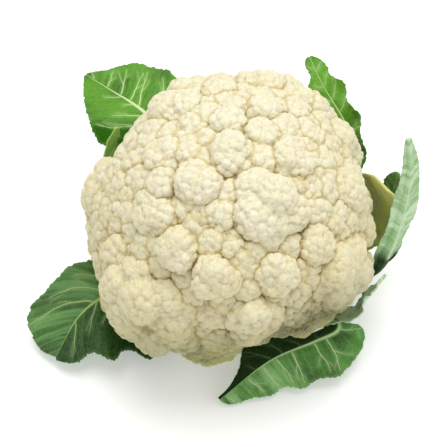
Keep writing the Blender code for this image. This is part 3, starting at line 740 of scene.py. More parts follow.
def turned_shell(profile, rows, steps):
    """A shape turned about +Z: radius and height in mm on a smooth curve through its profile's points."""
    line = smooth_path([(radius, 0.0, height) for radius, height in profile], np.linspace(0, 1, rows))
    radius, height = line[1:-1, :1], line[1:-1, 2:]
    turn = np.arange(steps) * 2 * math.pi / steps
    rings = np.stack([radius * np.cos(turn), radius * np.sin(turn), height + 0 * turn], axis=-1)
    points = np.vstack([rings.reshape(-1, 3), [[0, 0, line[0, 2]], [0, 0, line[-1, 2]]]]) * MM
    return points, *ring_cells(len(radius), steps)


def make_core(material):
    """The pale heart that the branches leave, with the neck below it."""
    points, quads, triangles = turned_shell(CORE_PROFILE, *CORE_GRID)
    ridges, relief = CORE_RIDGES
    around = np.arctan2(points[:, 1], points[:, 0])
    points[:, :2] *= (1 + relief * np.sin(ridges * around) * smooth_step(*CORE_RIDGED, points[:, 2]))[:, None]
    fields = curd_fields(len(points), stem=np.ones(len(points)))
    add_piece("curd_core", points, quads, triangles, fields, material, "curd")


def make_bed(material):
    """A closed bumpy shell a little under the dome, all in the crevices' tan and ochre painted shade, that
    shows only where florets leave a gap.
    """
    rows, columns = BED_GRID
    tilt = np.linspace(0, BED_TILT, rows + 1)[1:]
    turn = np.arange(columns) * 360 / columns
    ways = direction(turn[None, :], tilt[:, None]).reshape(-1, 3)
    points = ways * (dome_reach(ways) - BED_DEPTH)[:, None]
    points, crease, tone = raise_bumps(points, ways, BED_BUMPS, np.random.default_rng(SEED))
    top = CURD_MIDDLE + [0, 0, CURD_RISE - BED_DEPTH]
    points = np.vstack([CURD_MIDDLE + points, [top, CURD_MIDDLE]])
    crevice = np.full(len(points), BED_CREVICE)
    fields = curd_fields(len(points), crease=crease, tone=0.5 + 0.5 * tone, crevice=crevice)
    add_piece("curd_bed", points, *ring_cells(rows, columns, inside_out=True), fields, material, "curd")


# A leaf. Its path is points in mm, and its faces are the ways its upper side looks along that path. The
# root is half the width and the thickness of its own stalk in mm. For each side of the midrib there are
# half the blade's width in mm, the shares of the length where the blade starts and is widest, how blunt
# it is, its cup in degrees, its lobes' depth and phase, and its sweep forward. Waves is the number of
# lobes and ruffles on a side, and ruffle is how far the margin is lifted, in mm.
# Its dress is a grid, a finish and a seed. For each side there are the side veins' number, their lean
# towards the tip, their bend per mm and the share of the blade that they reach. Vein is their width in
# mm, rib is the raised share of the midrib, and teeth and frill are heights in mm. Waxy bloom with
# painted sheen, and painted shade, have an amount for either side, and the share of the length where
# the bloom and sheen begin or the painted shade ends. The painted shade's last two numbers are how far
# either way it fades, and how its end leans with the distance from the midrib.
LEAF_NAMES = "name node grid finish seed path faces start widths widest blunt cup vein rib wax deep"
# What most leaves have.
USUAL = {
    "root": (11, 8), "lobes": (0.04, 0.04), "phases": (0.4, 2.6), "sweep": (0, 0), "waves": 3,
    "ruffle": 1.5, "veins": (6, 6), "lean": (0.7, 0.7), "bend": (0.02, 0.02), "reach": (0.8, 0.8),
    "teeth": 0.5, "frill": 0.5,
}
Leaf = namedtuple("Leaf", [*LEAF_NAMES.split(), *USUAL], defaults=USUAL.values())

PATH_SAMPLES = 400
# The midrib: the share of its length that its direction is taken over, its width and thickness at the
# tip and how fast they come to that, how its band narrows near the tip, and its raised part's span of
# the length, points, and rise in mm and as a share of its width.
BEND_SHARE = 0.04
RIB_TIP_WIDTH = 1.6
RIB_TIP_THICKNESS = 1.5
RIB_NARROWS = 0.7
RIB_THINS = 0.6
RIB_KEEPS = 1.6
RIB_LEAST = 0.2
RIB_START = 0.6
RIB_END = 0.985
RIB_POINTS = 60
RIB_RISE = (0.1, 0.12)
# The blade in mm: its thickness, its least cup in radians, how its columns crowd at the midrib, the puff
# between its veins and how far from a vein that is full.
BLADE_THICKNESS = 0.8
LEAST_CUP = 0.02
CROWDING = 1.35
PUFF = 0.8
PUFF_REACH = 5.0
# The margin: teeth per length of blade and how far they are sunk, the frills' number, shift and height,
# and how soon they set in at the blade's ends.
MARGIN_STARTS = 3
TOOTH_COUNTS = (17, 29, 43)
TEETH_SUNK = 0.4
FRILLS = ((9, 1, 1.0), (15, 3, 0.6))
# A leaf is all stalk where its blade is narrower than these shares, and only this near its root.
STALK_SHARE = (0.02, 0.16)
STALK_END = 0.35
# Widths that the stored colours fade over: the halo of a vein in mm, the margin, waxy bloom with painted
# sheen, and two sides as shares, and the midrib's band with its strength.
HALO_WIDTH = 1.3
MARGIN_SHARE = 0.93
WAX_AND_SHEEN_FADE = 0.12
SIDES_FADE = 0.08
RIB_BAND = (0.5, 0.15)
RIB_TINT = 0.7
# Side veins: one's points, its sides and step in mm, its rise as a share of its width, its start and the
# shortest kept in mm, the span of the length that they leave from, and their chance changes.
VEIN_POINTS = 14
VEIN_SIDES = 8
VEIN_STEP = 1.3
VEIN_RISE = 0.16
VEIN_START = 1.0
VEIN_SHORTEST = 4
VEIN_FIRST = 0.05
VEIN_LAST = 0.95
VEIN_SHIFT = 0.25
VEIN_LEANS = (0.85, 1.15)
VEIN_TILTS = 0.06
VEIN_REACHES = (0.85, 1.05)
VEIN_WAVERS = (0.05, 0.25)
# A vein's width at its start grows with its reach up to this many mm, and thins towards its end.
VEIN_WIDTHS = (0.55, 0.45)
VEIN_LONG = 30
VEIN_THINS = 0.6
# Forks: the points of a vein where they leave, their own points, their run and lean, curl and width.
FORKS_AT = (5, 9)
FORK_POINTS = 8
FORK_RUNS = (0.5, 0.8)
FORK_LEANS = (0.55, 1.0)
FORK_CURL = 0.02
FORK_WIDTH = 0.7

LEAVES = (
    Leaf(
        name="front_left_leaf", node="leaf_front_left", grid=(176, 92), finish="dark", seed=11,
        path=((-25, -3, 19), (-46, -9, 25), (-74, -19, 30), (-92, -32, 25), (-106, -52, 11)),
        faces=((0, 0, 1), (0.0, -0.25, 1), (-0.5, -0.3, 1)),
        start=(0.08, 0.2), widths=(47, 30), widest=(0.3, 0.66), blunt=(1.0, 0.42), cup=(-14, 26),
        lobes=(0.2, 0.06), phases=(1.8, 4.9), sweep=(1.1, 0.25), waves=3.05, ruffle=3.0, veins=(6, 7),
        lean=(0.7, 0.75), bend=(0.012, 0.016), reach=(0.8, 0.86), vein=1.5, rib=0.24,
        wax=(0.15, 0.8, 0.1), deep=(0.95, 0.35, 0.62, 0.2, 0.0), teeth=0.7, frill=0.7,
    ),
    Leaf(
        name="back_left_leaf", node="leaf_back_left", grid=(190, 84), finish="bright", seed=12,
        path=(
            (-15, 19.5, 22), (-32, 43, 27), (-45, 68, 42), (-47, 81, 64), (-51, 88, 77), (-61, 98, 79),
            (-77, 114, 76), (-94, 131, 73),
        ),
        faces=((0, 0, 1), (0.5, -0.7, 0.6), (0, -0.2, 1)),
        root=(12, 9), start=(0.34, 0.34), widths=(37, 32), widest=(0.42, 0.56), blunt=(0.9, 0.9),
        cup=(8, 10), waves=3.5, ruffle=2.5, veins=(8, 9), lean=(1.3, 0.55), bend=(0.004, 0.004),
        reach=(0.86, 0.82), vein=1.7, rib=0.62, wax=(0.1, 0.3, 0.2), deep=(1.0, 0.1, 0.56, 0.07, 1.3),
        teeth=0.9,
    ),
    Leaf(
        name="back_left_young_leaf", node="leaf_back_left_inner", grid=(120, 40), finish="young",
        seed=13,
        path=((-21, 12.5, 31), (-46, 30, 30), (-70, 49, 46), (-76, 57, 70), (-68, 60, 95)),
        faces=((0, 0, 1), (0.7, -0.4, 0.6), (0.8, -0.5, 0.3)),
        root=(5, 4.5), start=(0.4, 0.4), widths=(5, 11), widest=(0.55, 0.55), blunt=(0.8, 0.8),
        cup=(14, 14), lobes=(0.08, 0.08), lean=(0.8, 0.8), vein=1.0, rib=0.3, wax=(0.5, 0.5, 0.3),
        deep=(0.0, 0.0, 0.7, 0.2, 0.0), frill=0.4,
    ),
    Leaf(
        name="back_leaf", node="leaf_back", grid=(150, 66), finish="dark", seed=14,
        path=((3, 25, 15), (8, 54, 21), (14, 84, 34), (16, 99, 58), (15, 106, 84)),
        faces=((0, 0, 1), (0, -0.6, 0.8), (0, -1, 0.2)),
        start=(0.3, 0.3), widths=(27, 29), widest=(0.6, 0.6), blunt=(0.7, 0.7), cup=(16, 16),
        lobes=(0.05, 0.05), waves=3.4, ruffle=3, veins=(7, 7), bend=(0.012, 0.012), reach=(0.82, 0.82),
        vein=1.4, rib=0.34, wax=(0.5, 0.5, 0.3), deep=(0.3, 0.3, 0.4, 0.2, 0.0), teeth=0.8, frill=0.7,
    ),
    Leaf(
        name="back_right_leaf", node="leaf_back_right", grid=(210, 56), finish="bright", seed=15,
        path=(
            (18.5, 16.5, 24), (45, 36, 26), (73, 53, 41), (80.5, 59, 66), (73.5, 68, 90), (62, 81, 105),
            (56, 91, 111), (51, 103, 116),
        ),
        faces=((0, 0, 1), (-0.6, -0.3, 0.7), (0, -0.6, 0.8)),
        root=(10, 7), start=(0.3, 0.3), widths=(13, 12.5), widest=(0.6, 0.75), blunt=(0.6, 0.8),
        cup=(10, 6), lobes=(0.6, 0.42), phases=(0.4, 2.15), waves=6, ruffle=3.5, veins=(9, 10),
        lean=(0.8, 0.7), reach=(0.85, 0.88), vein=1.2, rib=0.2, wax=(0.2, 0.15, 0.5),
        deep=(0.4, 0.5, 0.62, 0.2, 0.0), teeth=0.6, frill=0.6,
    ),
    Leaf(
        name="right_small_leaf", node="leaf_right_small", grid=(110, 44), finish="dark", seed=16,
        path=((22.5, 11.5, 15), (58, 23, 19), (86, 31, 40), (100, 34, 58), (104, 37, 79)),
        faces=((0, 0, 1), (-0.8, -0.3, 0.5), (-0.9, -0.4, 0.2)),
        root=(5, 5), start=(0.45, 0.45), widths=(12, 14), widest=(0.6, 0.6), blunt=(0.6, 0.6),
        cup=(14, 14), lobes=(0.05, 0.05), waves=2.5, veins=(5, 5), vein=0.9, rib=0.25,
        wax=(0.5, 0.5, 0.2), deep=(0.3, 0.3, 1.2, 0.2, 0.0), teeth=0.4, frill=0.4,
    ),
    Leaf(
        name="right_young_leaf", node="leaf_right_inner", grid=(130, 56), finish="olive", seed=17,
        path=((25, 1, 33), (55, 8, 32), (84, 12, 40), (95, 9, 56), (98, 7, 74), (97, 7, 94)),
        faces=((0, 0, 1), (-0.8, -0.45, 0.3), (-0.85, -0.5, 0)),
        root=(6, 4.5), start=(0.38, 0.38), widths=(36, 5), widest=(0.7, 0.6), blunt=(0.35, 0.55),
        cup=(-4, 12), waves=2.5, ruffle=1.2, veins=(7, 7), lean=(0.8, 0.8), bend=(0.015, 0.015),
        reach=(0.85, 0.85), vein=0.6, rib=0.35, wax=(0.6, 0.6, 0.7), deep=(0.3, 0.3, 0.6, 0.15, 0.0),
        frill=0.4,
    ),
    Leaf(
        name="right_tall_leaf", node="leaf_right_tall", grid=(180, 60), finish="pale", seed=18,
        path=(
            (25, -3, 21), (56, -5, 25), (87, -5, 36), (97.5, -4, 58), (104, 1, 88), (106, 7, 116),
            (103, 11, 140),
        ),
        faces=((0, 0, 1), (-0.2, 0.9, 0.4), (-0.4, 0.9, 0)),
        root=(10, 7), start=(0.3, 0.36), widths=(10, 9.5), widest=(0.36, 0.3), blunt=(0.8, 0.8),
        cup=(16, -6), ruffle=1.2, lean=(0.9, 0.5), bend=(0.03, 0.02), reach=(0.9, 0.9), vein=1.6,
        rib=0.16, wax=(0.9, 0.8, 0.55), deep=(1.0, 1.0, 0.5, 0.04, 0.0), teeth=0.4, frill=0.3,
    ),
    Leaf(
        name="right_low_leaf", node="leaf_right_low", grid=(110, 44), finish="pale", seed=19,
        path=((21.5, -13.5, 26), (50, -29, 26), (73, -36, 32), (82.5, -28, 39), (95, -17, 49)),
        faces=((0, 0, 1), (-0.5, 0.5, 0.7), (-0.8, 0.5, 0.3)),
        root=(5, 4.5), start=(0.42, 0.42), widths=(12, 13), widest=(0.5, 0.5), blunt=(0.6, 0.6),
        cup=(12, 12), lobes=(0.1, 0.1), vein=0.9, rib=0.3, wax=(1.0, 1.0, 0.45),
        deep=(1.0, 1.0, 0.3, 0.05, 0.0),
    ),
    Leaf(
        name="front_right_leaf", node="leaf_front_right", grid=(210, 72), finish="green", seed=20,
        path=(
            (22, -12.5, 10), (50, -21, 14), (66.5, -30, 19), (66.5, -42, 24), (53, -51, 26),
            (25, -62, 20), (-5, -81, 7),
        ),
        faces=((0, 0, 1), (0.35, -0.45, 0.8), (0.1, -0.6, 0.8)),
        start=(0.36, 0.48), widths=(26, 20), widest=(0.3, 0.5), blunt=(0.6, 3.5), cup=(-12, -16),
        lobes=(0.16, 0.2), phases=(0.8, 3.4), waves=4, ruffle=2.0, veins=(8, 7), lean=(-0.1, 0.6),
        bend=(0.004, 0.01), reach=(0.88, 0.82), vein=1.6, rib=0.2, wax=(0.9, 0.0, 0.66),
        deep=(0.0, 1.0, 1.2, 0.2, 0.0), teeth=0.6,
    ),
)


def half_at(spot, length, half):
    """A leaf side's width at a distance along the midrib."""
    return float(np.interp(spot, np.linspace(0, length, len(half)), half))


def side_veins(leaf, length, halves):
    """The side veins in the blade's plane: distances along and from the midrib in mm, and widths, for each.

    Each leaves the midrib at its lean, bends towards the tip as the square of its distance from the
    midrib, wavers, thins out, and stops short of the margin. It forks twice, to either side by turns.
    """
    draw = np.random.default_rng(leaf.seed)
    widest, grows = VEIN_WIDTHS
    veins = []
    for side, sign in ((0, -1), (1, 1)):
        half, bend = halves[side], leaf.bend[side]
        first = leaf.start[side] * length + VEIN_FIRST * length
        spots = np.linspace(first, VEIN_LAST * length, leaf.veins[side])
        spots = spots + draw.uniform(-VEIN_SHIFT, VEIN_SHIFT, len(spots)) * (spots[1] - spots[0])
        for spot in spots:
            lean = leaf.lean[side] * draw.uniform(*VEIN_LEANS) + draw.uniform(-VEIN_TILTS, VEIN_TILTS)
            reach = leaf.reach[side] * draw.uniform(*VEIN_REACHES) * half_at(spot, length, half)
            reach = leaf.reach[side] * half_at(spot + lean * reach + bend * reach**2, length, half)
            if reach < VEIN_SHORTEST:
                continue
            out = np.linspace(VEIN_START, reach, VEIN_POINTS)
            bends, turns = (draw.normal(scale=scale, size=VEIN_POINTS) for scale in VEIN_WAVERS)
            along = spot + lean * out + bend * out**2 + np.cumsum(np.cumsum(bends) + turns)
            wide = leaf.vein * (widest + grows * min(1.0, reach / VEIN_LONG)) * (1 - VEIN_THINS * out / reach)
            veins.append((along, out * sign, wide))
            way = 1 if draw.uniform() < 0.5 else -1
            for fork in FORKS_AT:
                way = -way
                run = (reach - out[fork]) * draw.uniform(*FORK_RUNS)
                step = np.linspace(0, run, FORK_POINTS)
                slope = (along[fork + 1] - along[fork]) / (out[fork + 1] - out[fork])
                tilt = slope + way * draw.uniform(*FORK_LEANS)
                branch = along[fork] + tilt * step - way * FORK_CURL * step**2
                thin = wide[fork] * FORK_WIDTH * (1 - VEIN_THINS * step / run)
                veins.append((branch, (out[fork] + step) * sign, thin))
    return veins


def nearest_vein(along, out, veins):
    """The distance from each point of a blade's plane to the nearest side vein, in mm."""
    nearest = np.full(along.shape, np.inf)
    for vein_along, vein_out, _ in veins:
        for first in range(0, len(vein_along) - 1, 2):
            last = min(first + 2, len(vein_along) - 1)
            dx, dy = vein_along[last] - vein_along[first], vein_out[last] - vein_out[first]
            x, y = along - vein_along[first], out - vein_out[first]
            share = np.clip((x * dx + y * dy) / (dx * dx + dy * dy), 0, 1)
            nearest = np.minimum(nearest, np.hypot(x - share * dx, y - share * dy))
    return nearest


def on_grid(grid, row, column):
    """Points of a grid at fractional rows and columns, blended between the four corners around each."""
    row = np.clip(row, 0, grid.shape[0] - 1.001)
    column = np.clip(column, 0, grid.shape[1] - 1.001)
    r, c = row.astype(int), column.astype(int)
    u, v = (row - r)[:, None], (column - c)[:, None]
    low = grid[r, c] * (1 - v) + grid[r, c + 1] * v
    high = grid[r + 1, c] * (1 - v) + grid[r + 1, c + 1] * v
    return low * (1 - u) + high * u


def raised_vein(line, tall, sheet, rib, depth):
    """A closed oval rib that lies in a blade along one vein, its crest a little out of the upper side.

    It is the vein's line on the upper surface, sunk by half a blade, with an ellipse carried along it:
    as wide as the vein across the blade, and as tall as given through it. The line is distances along
    and from the midrib, and widths. The field rib is 1 for the midrib, and 0 for a side vein.
    """
    upper, lower, halves, length = sheet
    rows, columns = upper.shape[:2]
    run = np.concatenate([[0], np.cumsum(np.hypot(np.diff(line[0]), np.diff(line[1])))])
    count = max(4, int(run[-1] / VEIN_STEP))
    spot = np.linspace(0, run[-1], count)
    along, out, wide, tall = (np.interp(spot, run, values) for values in (*line, tall))
    share = along / length
    left, right = (np.interp(share, np.linspace(0, 1, rows), half) for half in halves)
    across = np.clip(np.abs(out) / np.where(out > 0, right, left), 0, 0.98)
    column = (np.sign(out) * across ** (1 / CROWDING) + 1) / 2 * (columns - 1)
    top = on_grid(upper, share * (rows - 1), column)
    normal = unit_rows(top - on_grid(lower, share * (rows - 1), column))
    middle = top - normal * (BLADE_THICKNESS / 2 * MM)
    sideways = unit_rows(np.cross(normal, unit_rows(np.gradient(middle, axis=0))))
    turn = (np.arange(VEIN_SIDES) * 2 * math.pi / VEIN_SIDES)[:, None]
    wide, tall = (wide / 2 * MM)[:, None, None], (BLADE_THICKNESS / 2 + tall)[:, None, None] * MM
    rings = (
        middle[:, None]
        + sideways[:, None] * (np.cos(turn) * wide)
        + normal[:, None] * (np.sin(turn) * tall)
    )
    points = np.vstack([rings.reshape(-1, 3), middle[:1], middle[-1:]])
    values = {"halo": 1, "rib": rib, "vein": 1, "margin": 0, "wax": 0, "run": 0, "out": 0, "under": 0}
    fields = {name: np.full(len(points), float(value)) for name, value in values.items()}
    # The vein takes the painted shade of the blade along its length.
    depth = np.interp(np.linspace(0, 1, count), np.linspace(0, 1, len(depth)), depth)
    fields["deep"] = np.concatenate([np.repeat(depth, VEIN_SIDES), depth[:1], depth[-1:]])
    return points, *ring_cells(count, VEIN_SIDES, inside_out=True), fields


def path_direction(path, along):
    """The way a path runs at shares of its length, taken over a short share so that bends stay soft."""
    after = smooth_path(path, np.clip(along + BEND_SHARE, 0, 1))
    return unit_rows(after - smooth_path(path, np.clip(along - BEND_SHARE, 0, 1)))


def painted_leaf_shade(leaf, side, along, out, length):
    """How dark the painted shade on a leaf is, from its left side, 0, to its right, 1.

    It ends at a share of the leaf's length, on a line that leans with the distance from the midrib.
    """
    left, right, end, fade, slant = leaf.deep
    share = (along - slant * np.abs(out)) / length
    return (left + (right - left) * side) * (1 - smooth_step(end - fade, end + fade, share))


def rib_taper(share):
    """How much of its width the midrib keeps at shares of the leaf's length."""
    return np.clip(RIB_KEEPS * (1 - share), RIB_LEAST, 1)


def leaf_halves(leaf, along, rib):
    """For each side of a leaf, left then right: shares along its blade, the blade's swell, and its width.

    The swell is a sine with its top at the widest place, to the power of how blunt it is. The margin is
    cut by lobes, a cosine along the blade, and by fine teeth, the mean of three sines out of step.
    """
    draw = np.random.default_rng(leaf.seed + 100)
    blades, swells, halves = [], [], []
    for k in (0, 1):
        blade = np.clip((along - leaf.start[k]) / (1 - leaf.start[k]), 0, 1)
        swell = np.sin(math.pi * blade ** (math.log(0.5) / math.log(leaf.widest[k]))) ** leaf.blunt[k]
        notches = 0.5 - 0.5 * np.cos(2 * math.pi * leaf.waves * blade + leaf.phases[k])
        teeth = np.zeros(len(along))
        for count in TOOTH_COUNTS:
            teeth += np.sin(2 * math.pi * (count * blade + draw.uniform())) / len(TOOTH_COUNTS)
        half = rib + (leaf.widths[k] - rib) * swell * (1 - leaf.lobes[k] * notches)
        halves.append(half + leaf.teeth * (teeth - TEETH_SUNK) * np.minimum(1, MARGIN_STARTS * swell))
        blades.append(blade)
        swells.append(swell)
    return blades, swells, halves


def sheet_cells(rows, columns):
    """The cells of a closed sheet: an upper grid of points, a lower one after it, and the rim between."""
    count = rows * columns
    upper = grid_quads(rows, columns)
    grid = np.arange(count).reshape(rows, columns)
    rim = np.concatenate([grid[:, 0], grid[-1, 1:], grid[-2::-1, -1], grid[0, -2:0:-1]])
    edge = np.stack([rim, rim + count, np.roll(rim, -1) + count, np.roll(rim, -1)], axis=1)
    return np.vstack([upper, upper[:, ::-1] + count, edge])


def leaf_shells(leaf):
    """A leaf between its upper and its lower surface, then its raised veins, with their stored fields.

    Across the leaf each half is an arc that turns its margin up by the cup angle, and that leans
    towards the tip by the sweep, more so further along. A ruffle, a sine along the blade that grows
    with the square of the distance from the midrib, lifts and lowers it, and a finer frill lifts the
    last of it. The blade puffs up between the veins, and its lower side swells under the midrib.
    """
    rows, columns = leaf.grid
    along = np.linspace(0, 1, rows)
    middle = smooth_path(leaf.path, along)
    length = float(np.sum(np.linalg.norm(np.diff(middle, axis=0), axis=1)))
    ahead = path_direction(leaf.path, along)
    face = smooth_path(leaf.faces, along)
    face = unit_rows(face - np.sum(face * ahead, axis=1, keepdims=True) * ahead)
    right = np.cross(ahead, face)
    even = np.linspace(-1, 1, columns)
    across, sign, side = np.abs(even) ** CROWDING, np.sign(even), (even > 0).astype(int)
    rib = leaf.root[0] + (RIB_TIP_WIDTH - leaf.root[0]) * along**RIB_NARROWS
    both = leaf_halves(leaf, along, rib)
    halves = both[2]
    blade, swell, half = (np.stack(pair, axis=-1)[:, side] for pair in both)
    cup = np.radians(np.array(leaf.cup, dtype=float)[side]) * swell + LEAST_CUP
    turn = cup * across
    sideways = half * np.sin(turn) / cup * sign
    lift = half * (1 - np.cos(turn)) / cup
    phase = np.array(leaf.phases)[side]
    lift = lift + leaf.ruffle * across**2 * np.sin(2 * math.pi * leaf.waves * blade + phase) * swell
    frill = sum(most * np.sin(2 * math.pi * count * blade + shift * phase) for count, shift, most in FRILLS)
    lift = lift + leaf.frill * across**6 * frill * swell

    out = half * across
    from_start = along[:, None] * length + 0 * out
    veins = side_veins(leaf, length, halves)
    nearest = nearest_vein(from_start, out * sign, veins)
    stalk_part = (1 - smooth_step(*STALK_SHARE, swell)) * (along < STALK_END)[:, None]
    puff = PUFF * smooth_step(0.0, PUFF_REACH, np.minimum(nearest, out)) * (1 - stalk_part) * (1 - across**4)
    rib_deep = leaf.root[1] + (RIB_TIP_THICKNESS - leaf.root[1]) * along**RIB_THINS
    round_rib = np.sqrt(np.clip(1 - (sideways / rib[:, None]) ** 2, 0, 1))
    thick = BLADE_THICKNESS + (rib_deep[:, None] - BLADE_THICKNESS) * round_rib
    forward = np.array(leaf.sweep)[side] * blade**2 * np.abs(sideways)
    swept = middle[:, None] + ahead[:, None] * forward[..., None]

    def place(x, z):
        return (swept + right[:, None] * x[..., None] + face[:, None] * z[..., None]) * MM

    def sides(pair):
        return np.interp(even, (-SIDES_FADE, SIDES_FADE), pair)[None, :]

    lift = lift + puff - PUFF
    upper = place(sideways, lift)
    lower = place(sideways + thick * np.sin(turn * sign), lift - thick * np.cos(turn * sign))
    points = np.vstack([upper.reshape(-1, 3), lower.reshape(-1, 3)])
    # Waxy bloom with painted sheen on either side, from a share of the length on.
    left_wax_and_sheen, right_wax_and_sheen, wax_and_sheen_from = leaf.wax
    wax_and_sheen_share = smooth_step(wax_and_sheen_from - WAX_AND_SHEEN_FADE, wax_and_sheen_from + WAX_AND_SHEEN_FADE, along)[:, None]
    from_rib = out / (rib * rib_taper(along))[:, None]
    flat = {
        "halo": np.exp(-((nearest / HALO_WIDTH) ** 2)) * (1 - stalk_part),
        "rib": np.maximum(stalk_part, RIB_TINT * smooth_step(*RIB_BAND, from_rib)),
        "vein": 0 * out,
        "margin": smooth_step(MARGIN_SHARE, 1.0, across)[None, :] * np.minimum(1, MARGIN_STARTS * swell),
        "wax": sides((left_wax_and_sheen, right_wax_and_sheen)) * wax_and_sheen_share,
        # Painted shade: dark where the leaf lies under the curd or deep between leaves.
        "deep": painted_leaf_shade(leaf, sides((0, 1)), from_start, out, length),
        "run": from_start - np.array(leaf.lean)[side] * out,
        "out": out,
    }
    fields = {name: np.tile((values + 0 * out).ravel(), 2) for name, values in flat.items()}
    fields["under"] = np.repeat([0.0, 1.0], rows * columns)
    shells = [(points, sheet_cells(rows, columns), np.zeros((0, 3), dtype=int), fields)]
    sheet = (upper, lower, halves, length)
    line = np.linspace(RIB_START * min(leaf.start) * length, RIB_END * length, RIB_POINTS)
    wide = leaf.rib * 2 * np.interp(line, along * length, rib) * rib_taper(line / length)
    # The midrib and side veins take the painted shade of the blade.
    depth = np.minimum(*(painted_leaf_shade(leaf, k, line, 0, length) for k in (0, 1)))
    least, rise = RIB_RISE
    shells.append(raised_vein((line, 0 * line, wide), least + rise * wide, sheet, 1.0, depth))
    for vein in veins:
        depth = painted_leaf_shade(leaf, float(vein[1][-1] > 0), vein[0], vein[1], length)
        shells.append(raised_vein(vein, VEIN_RISE * vein[2], sheet, 0.0, depth))
    return shells


# Each finish: blade, its darker clouds and painted shade, veins, waxy bloom and painted sheen, underside,
# midrib.
LeafColours = namedtuple("LeafColours", "blade dark vein bloom under rib")
LEAF_COLOURS = {
    "dark": LeafColours(
        blade=(0.048, 0.140, 0.018), dark=(0.011, 0.038, 0.007), vein=(0.36, 0.54, 0.20),
        bloom=(0.165, 0.35, 0.115), under=(0.16, 0.30, 0.10), rib=(0.40, 0.58, 0.17),
    ),
    "green": LeafColours(
        blade=(0.095, 0.290, 0.045), dark=(0.010, 0.022, 0.006), vein=(0.52, 0.72, 0.34),
        bloom=(0.28, 0.54, 0.19), under=(0.18, 0.34, 0.12), rib=(0.52, 0.72, 0.34),
    ),
    "bright": LeafColours(
        blade=(0.100, 0.300, 0.016), dark=(0.022, 0.100, 0.006), vein=(0.48, 0.70, 0.26),
        bloom=(0.15, 0.36, 0.05), under=(0.18, 0.38, 0.10), rib=(0.66, 0.78, 0.40),
    ),
    "young": LeafColours(
        blade=(0.26, 0.52, 0.09), dark=(0.12, 0.30, 0.05), vein=(0.60, 0.80, 0.35),
        bloom=(0.32, 0.56, 0.14), under=(0.26, 0.52, 0.09), rib=(0.50, 0.72, 0.26),
    ),
    "pale": LeafColours(
        blade=(0.16, 0.34, 0.10), dark=(0.012, 0.030, 0.008), vein=(0.72, 0.84, 0.62),
        bloom=(0.64, 0.80, 0.55), under=(0.23, 0.44, 0.17), rib=(0.58, 0.74, 0.46),
    ),
    "olive": LeafColours(
        blade=(0.62, 0.62, 0.15), dark=(0.36, 0.48, 0.08), vein=(0.66, 0.66, 0.30),
        bloom=(0.74, 0.72, 0.34), under=(0.60, 0.60, 0.14), rib=(0.60, 0.62, 0.34),
    ),
}


def leaf_finish(name, colours):
    """A waxy leaf: green in clouds and streaks between its veins, a faint net, pale veins, paler below, with
    waxy bloom and painted sheen, and painted shade.
    """
    finish = Finish(name)
    # Painted shade darkens the blade, dims the veins and the bloom and sheen, and takes the gloss off.
    deep = finish.field("deep")
    net = finish.ramp(finish.cells(300.0, "DISTANCE_TO_EDGE"), 0.0, 0.14, 1.0, 0.0)
    streaks = finish.times(finish.streaks(0.32, 0.035), 0.3)
    clouds = finish.math("ADD", finish.times(finish.noise(30.0, 4.0), 0.7), streaks)
    blade = finish.blend(finish.ramp(clouds, 0.34, 0.6), colours.dark, colours.blade)
    blade = finish.blend(finish.field("under"), blade, colours.under)
    blade = finish.blend(finish.times(deep, 0.95), blade, colours.dark)
    # Waxy bloom with painted sheen, in streaks, fading out in the painted shade.
    wax = finish.times(finish.ramp(finish.streaks(0.16, 0.02), 0.38, 0.6, 0.12, 1.0), finish.field("wax"))
    wax = finish.times(wax, finish.ramp(deep, 0.3, 0.9, 0.85, 0.0), True)
    blade = finish.blend(wax, blade, colours.bloom)
    dim = finish.ramp(deep, 0.75, 1.0, 1.0, 0.12)
    lighter = finish.math("ADD", finish.times(net, 0.07), finish.times(finish.field("halo"), 0.18))
    blade = finish.blend(finish.times(lighter, dim), blade, colours.vein)
    blade = finish.blend(finish.times(finish.field("margin"), 0.3), blade, colours.bloom)
    blade = finish.blend(finish.times(finish.field("vein"), dim), blade, colours.vein)
    normal = finish.bump(finish.times(net, -1.0), 0.3, 0.0004)
    return finish.close(
        Base_Color=finish.blend(finish.times(finish.field("rib"), dim), blade, colours.rib),
        Roughness=finish.ramp(finish.noise(60.0), 0.3, 0.7, 0.42, 0.6),
        Normal=finish.bump(finish.noise(150.0), 0.25, 0.0006, Normal=normal),
        Specular_IOR_Level=finish.ramp(deep, 0.4, 1.0, 0.22, 0.0),
        Subsurface_Weight=0.04,
        Subsurface_Radius=(0.4, 1.0, 0.2),
        Subsurface_Scale=0.0015,
    )


def make_leaves():
    """The leaves, each with its veins as one piece in its finish."""
    finishes = {name: leaf_finish(f"{name}_leaf", colours) for name, colours in LEAF_COLOURS.items()}
    for leaf in LEAVES:
        add_piece(leaf.name, *joined(leaf_shells(leaf)), finishes[leaf.finish], leaf.node)


STALK_PALE = (0.62, 0.70, 0.38)
STALK_GREEN = (0.50, 0.60, 0.26)
STALK_CUT = (0.70, 0.64, 0.40)


def stalk_finish():
    """Pale green stalk skin, fibrous along its length, with a drier, straw-coloured cut."""
    finish = Finish("stalk_skin")
    fibres = finish.noise(240.0, place=finish.squeezed((1.0, 1.0, 0.12)))
    colour = finish.blend(finish.ramp(fibres, 0.3, 0.7), STALK_PALE, STALK_GREEN)
    return finish.close(
        Base_Color=finish.blend(finish.ramp(finish.height(), 0.0012, 0.0002), colour, STALK_CUT),
        Roughness=0.5,
        Normal=finish.bump(fibres, 0.4, 0.0006),
        Subsurface_Weight=0.1,
        Subsurface_Scale=0.003,
        Specular_IOR_Level=0.4,
    )


FLOOR_REACH = 6.0
FLOOR_WHITE = (0.90, 0.90, 0.90, 1.0)
SURROUNDINGS = 0.6
# The soft boxes, a large one above and a weak one at the right: name, place and side in metres, power.
SOFT_BOXES = (("key_box", (0.0, 0.12, 1.35), 1.0, 12.5), ("fill_box", (0.9, -0.5, 0.9), 0.8, 1.6))


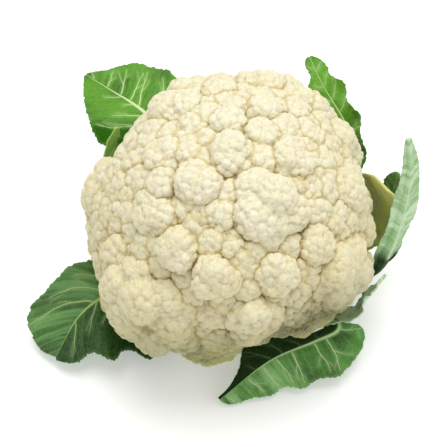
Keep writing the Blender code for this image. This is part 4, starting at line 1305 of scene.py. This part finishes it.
def make_floor():
    """A plain pale floor."""
    mesh = bpy.data.meshes.new("floor")
    corners = [(x * FLOOR_REACH, y * FLOOR_REACH, 0) for x, y in ((-1, -1), (1, -1), (1, 1), (-1, 1))]
    mesh.from_pydata(corners, [], [(0, 1, 2, 3)])
    floor = linked("floor", mesh)
    finish = Finish("pale_floor")
    white = {"Base_Color": FLOOR_WHITE, "Emission_Color": FLOOR_WHITE}
    mesh.materials.append(finish.close(**white, Roughness=0.9, Emission_Strength=0.3))


def make_light():
    """White surroundings, and square soft boxes that face the head."""
    world = bpy.data.worlds.new("studio")
    bpy.context.scene.world = world
    world.use_nodes = True
    sky = world.node_tree.nodes["Background"]
    sky.inputs["Color"].default_value = (1.0, 1.0, 1.0, 1.0)
    sky.inputs["Strength"].default_value = SURROUNDINGS
    for name, place, side, power in SOFT_BOXES:
        light = bpy.data.lights.new(name, "AREA")
        light.shape = "SQUARE"
        light.size = side
        light.energy = power
        lamp = linked(name, light)
        lamp.location = place
        x, y, z = CURD_MIDDLE - place
        lamp.rotation_euler = (math.atan2(math.hypot(x, y), -z), 0, math.atan2(x, -y) + math.pi)


CAMERA_DISTANCE = 0.9
CAMERA_ELEVATION = 50.0
PIXEL = 0.6 * MM
PHOTO_SIDE = 447
PHOTO_MIDDLE = (228.0, 219.0)


def make_camera():
    """The photograph's view: the curd's middle at 0.6 mm a pixel, a little right of and above its centre."""
    data = bpy.data.cameras.new("camera")
    data.sensor_width = 36.0
    data.lens = 36.0 * CAMERA_DISTANCE / (PHOTO_SIDE * PIXEL)
    data.shift_x = -(PHOTO_MIDDLE[0] - PHOTO_SIDE / 2) / PHOTO_SIDE
    data.shift_y = (PHOTO_MIDDLE[1] - PHOTO_SIDE / 2) / PHOTO_SIDE
    data.clip_start = 0.05
    camera = linked("camera", data)
    tilt = math.radians(CAMERA_ELEVATION)
    camera.location = (0.0, -CAMERA_DISTANCE * math.cos(tilt), CURD_HEIGHT + CAMERA_DISTANCE * math.sin(tilt))
    camera.rotation_euler = (math.pi / 2 - tilt, 0.0, 0.0)
    bpy.context.scene.camera = camera


curd_material = curd_finish()
make_curd(curd_material)
make_core(curd_material)
make_bed(curd_material)
make_leaves()
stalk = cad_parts["stalk"]
stalk.data.materials.clear()
stalk.data.materials.append(stalk_finish())
make_floor()
make_light()
make_camera()
bpy.context.scene.view_settings.view_transform = "Standard"
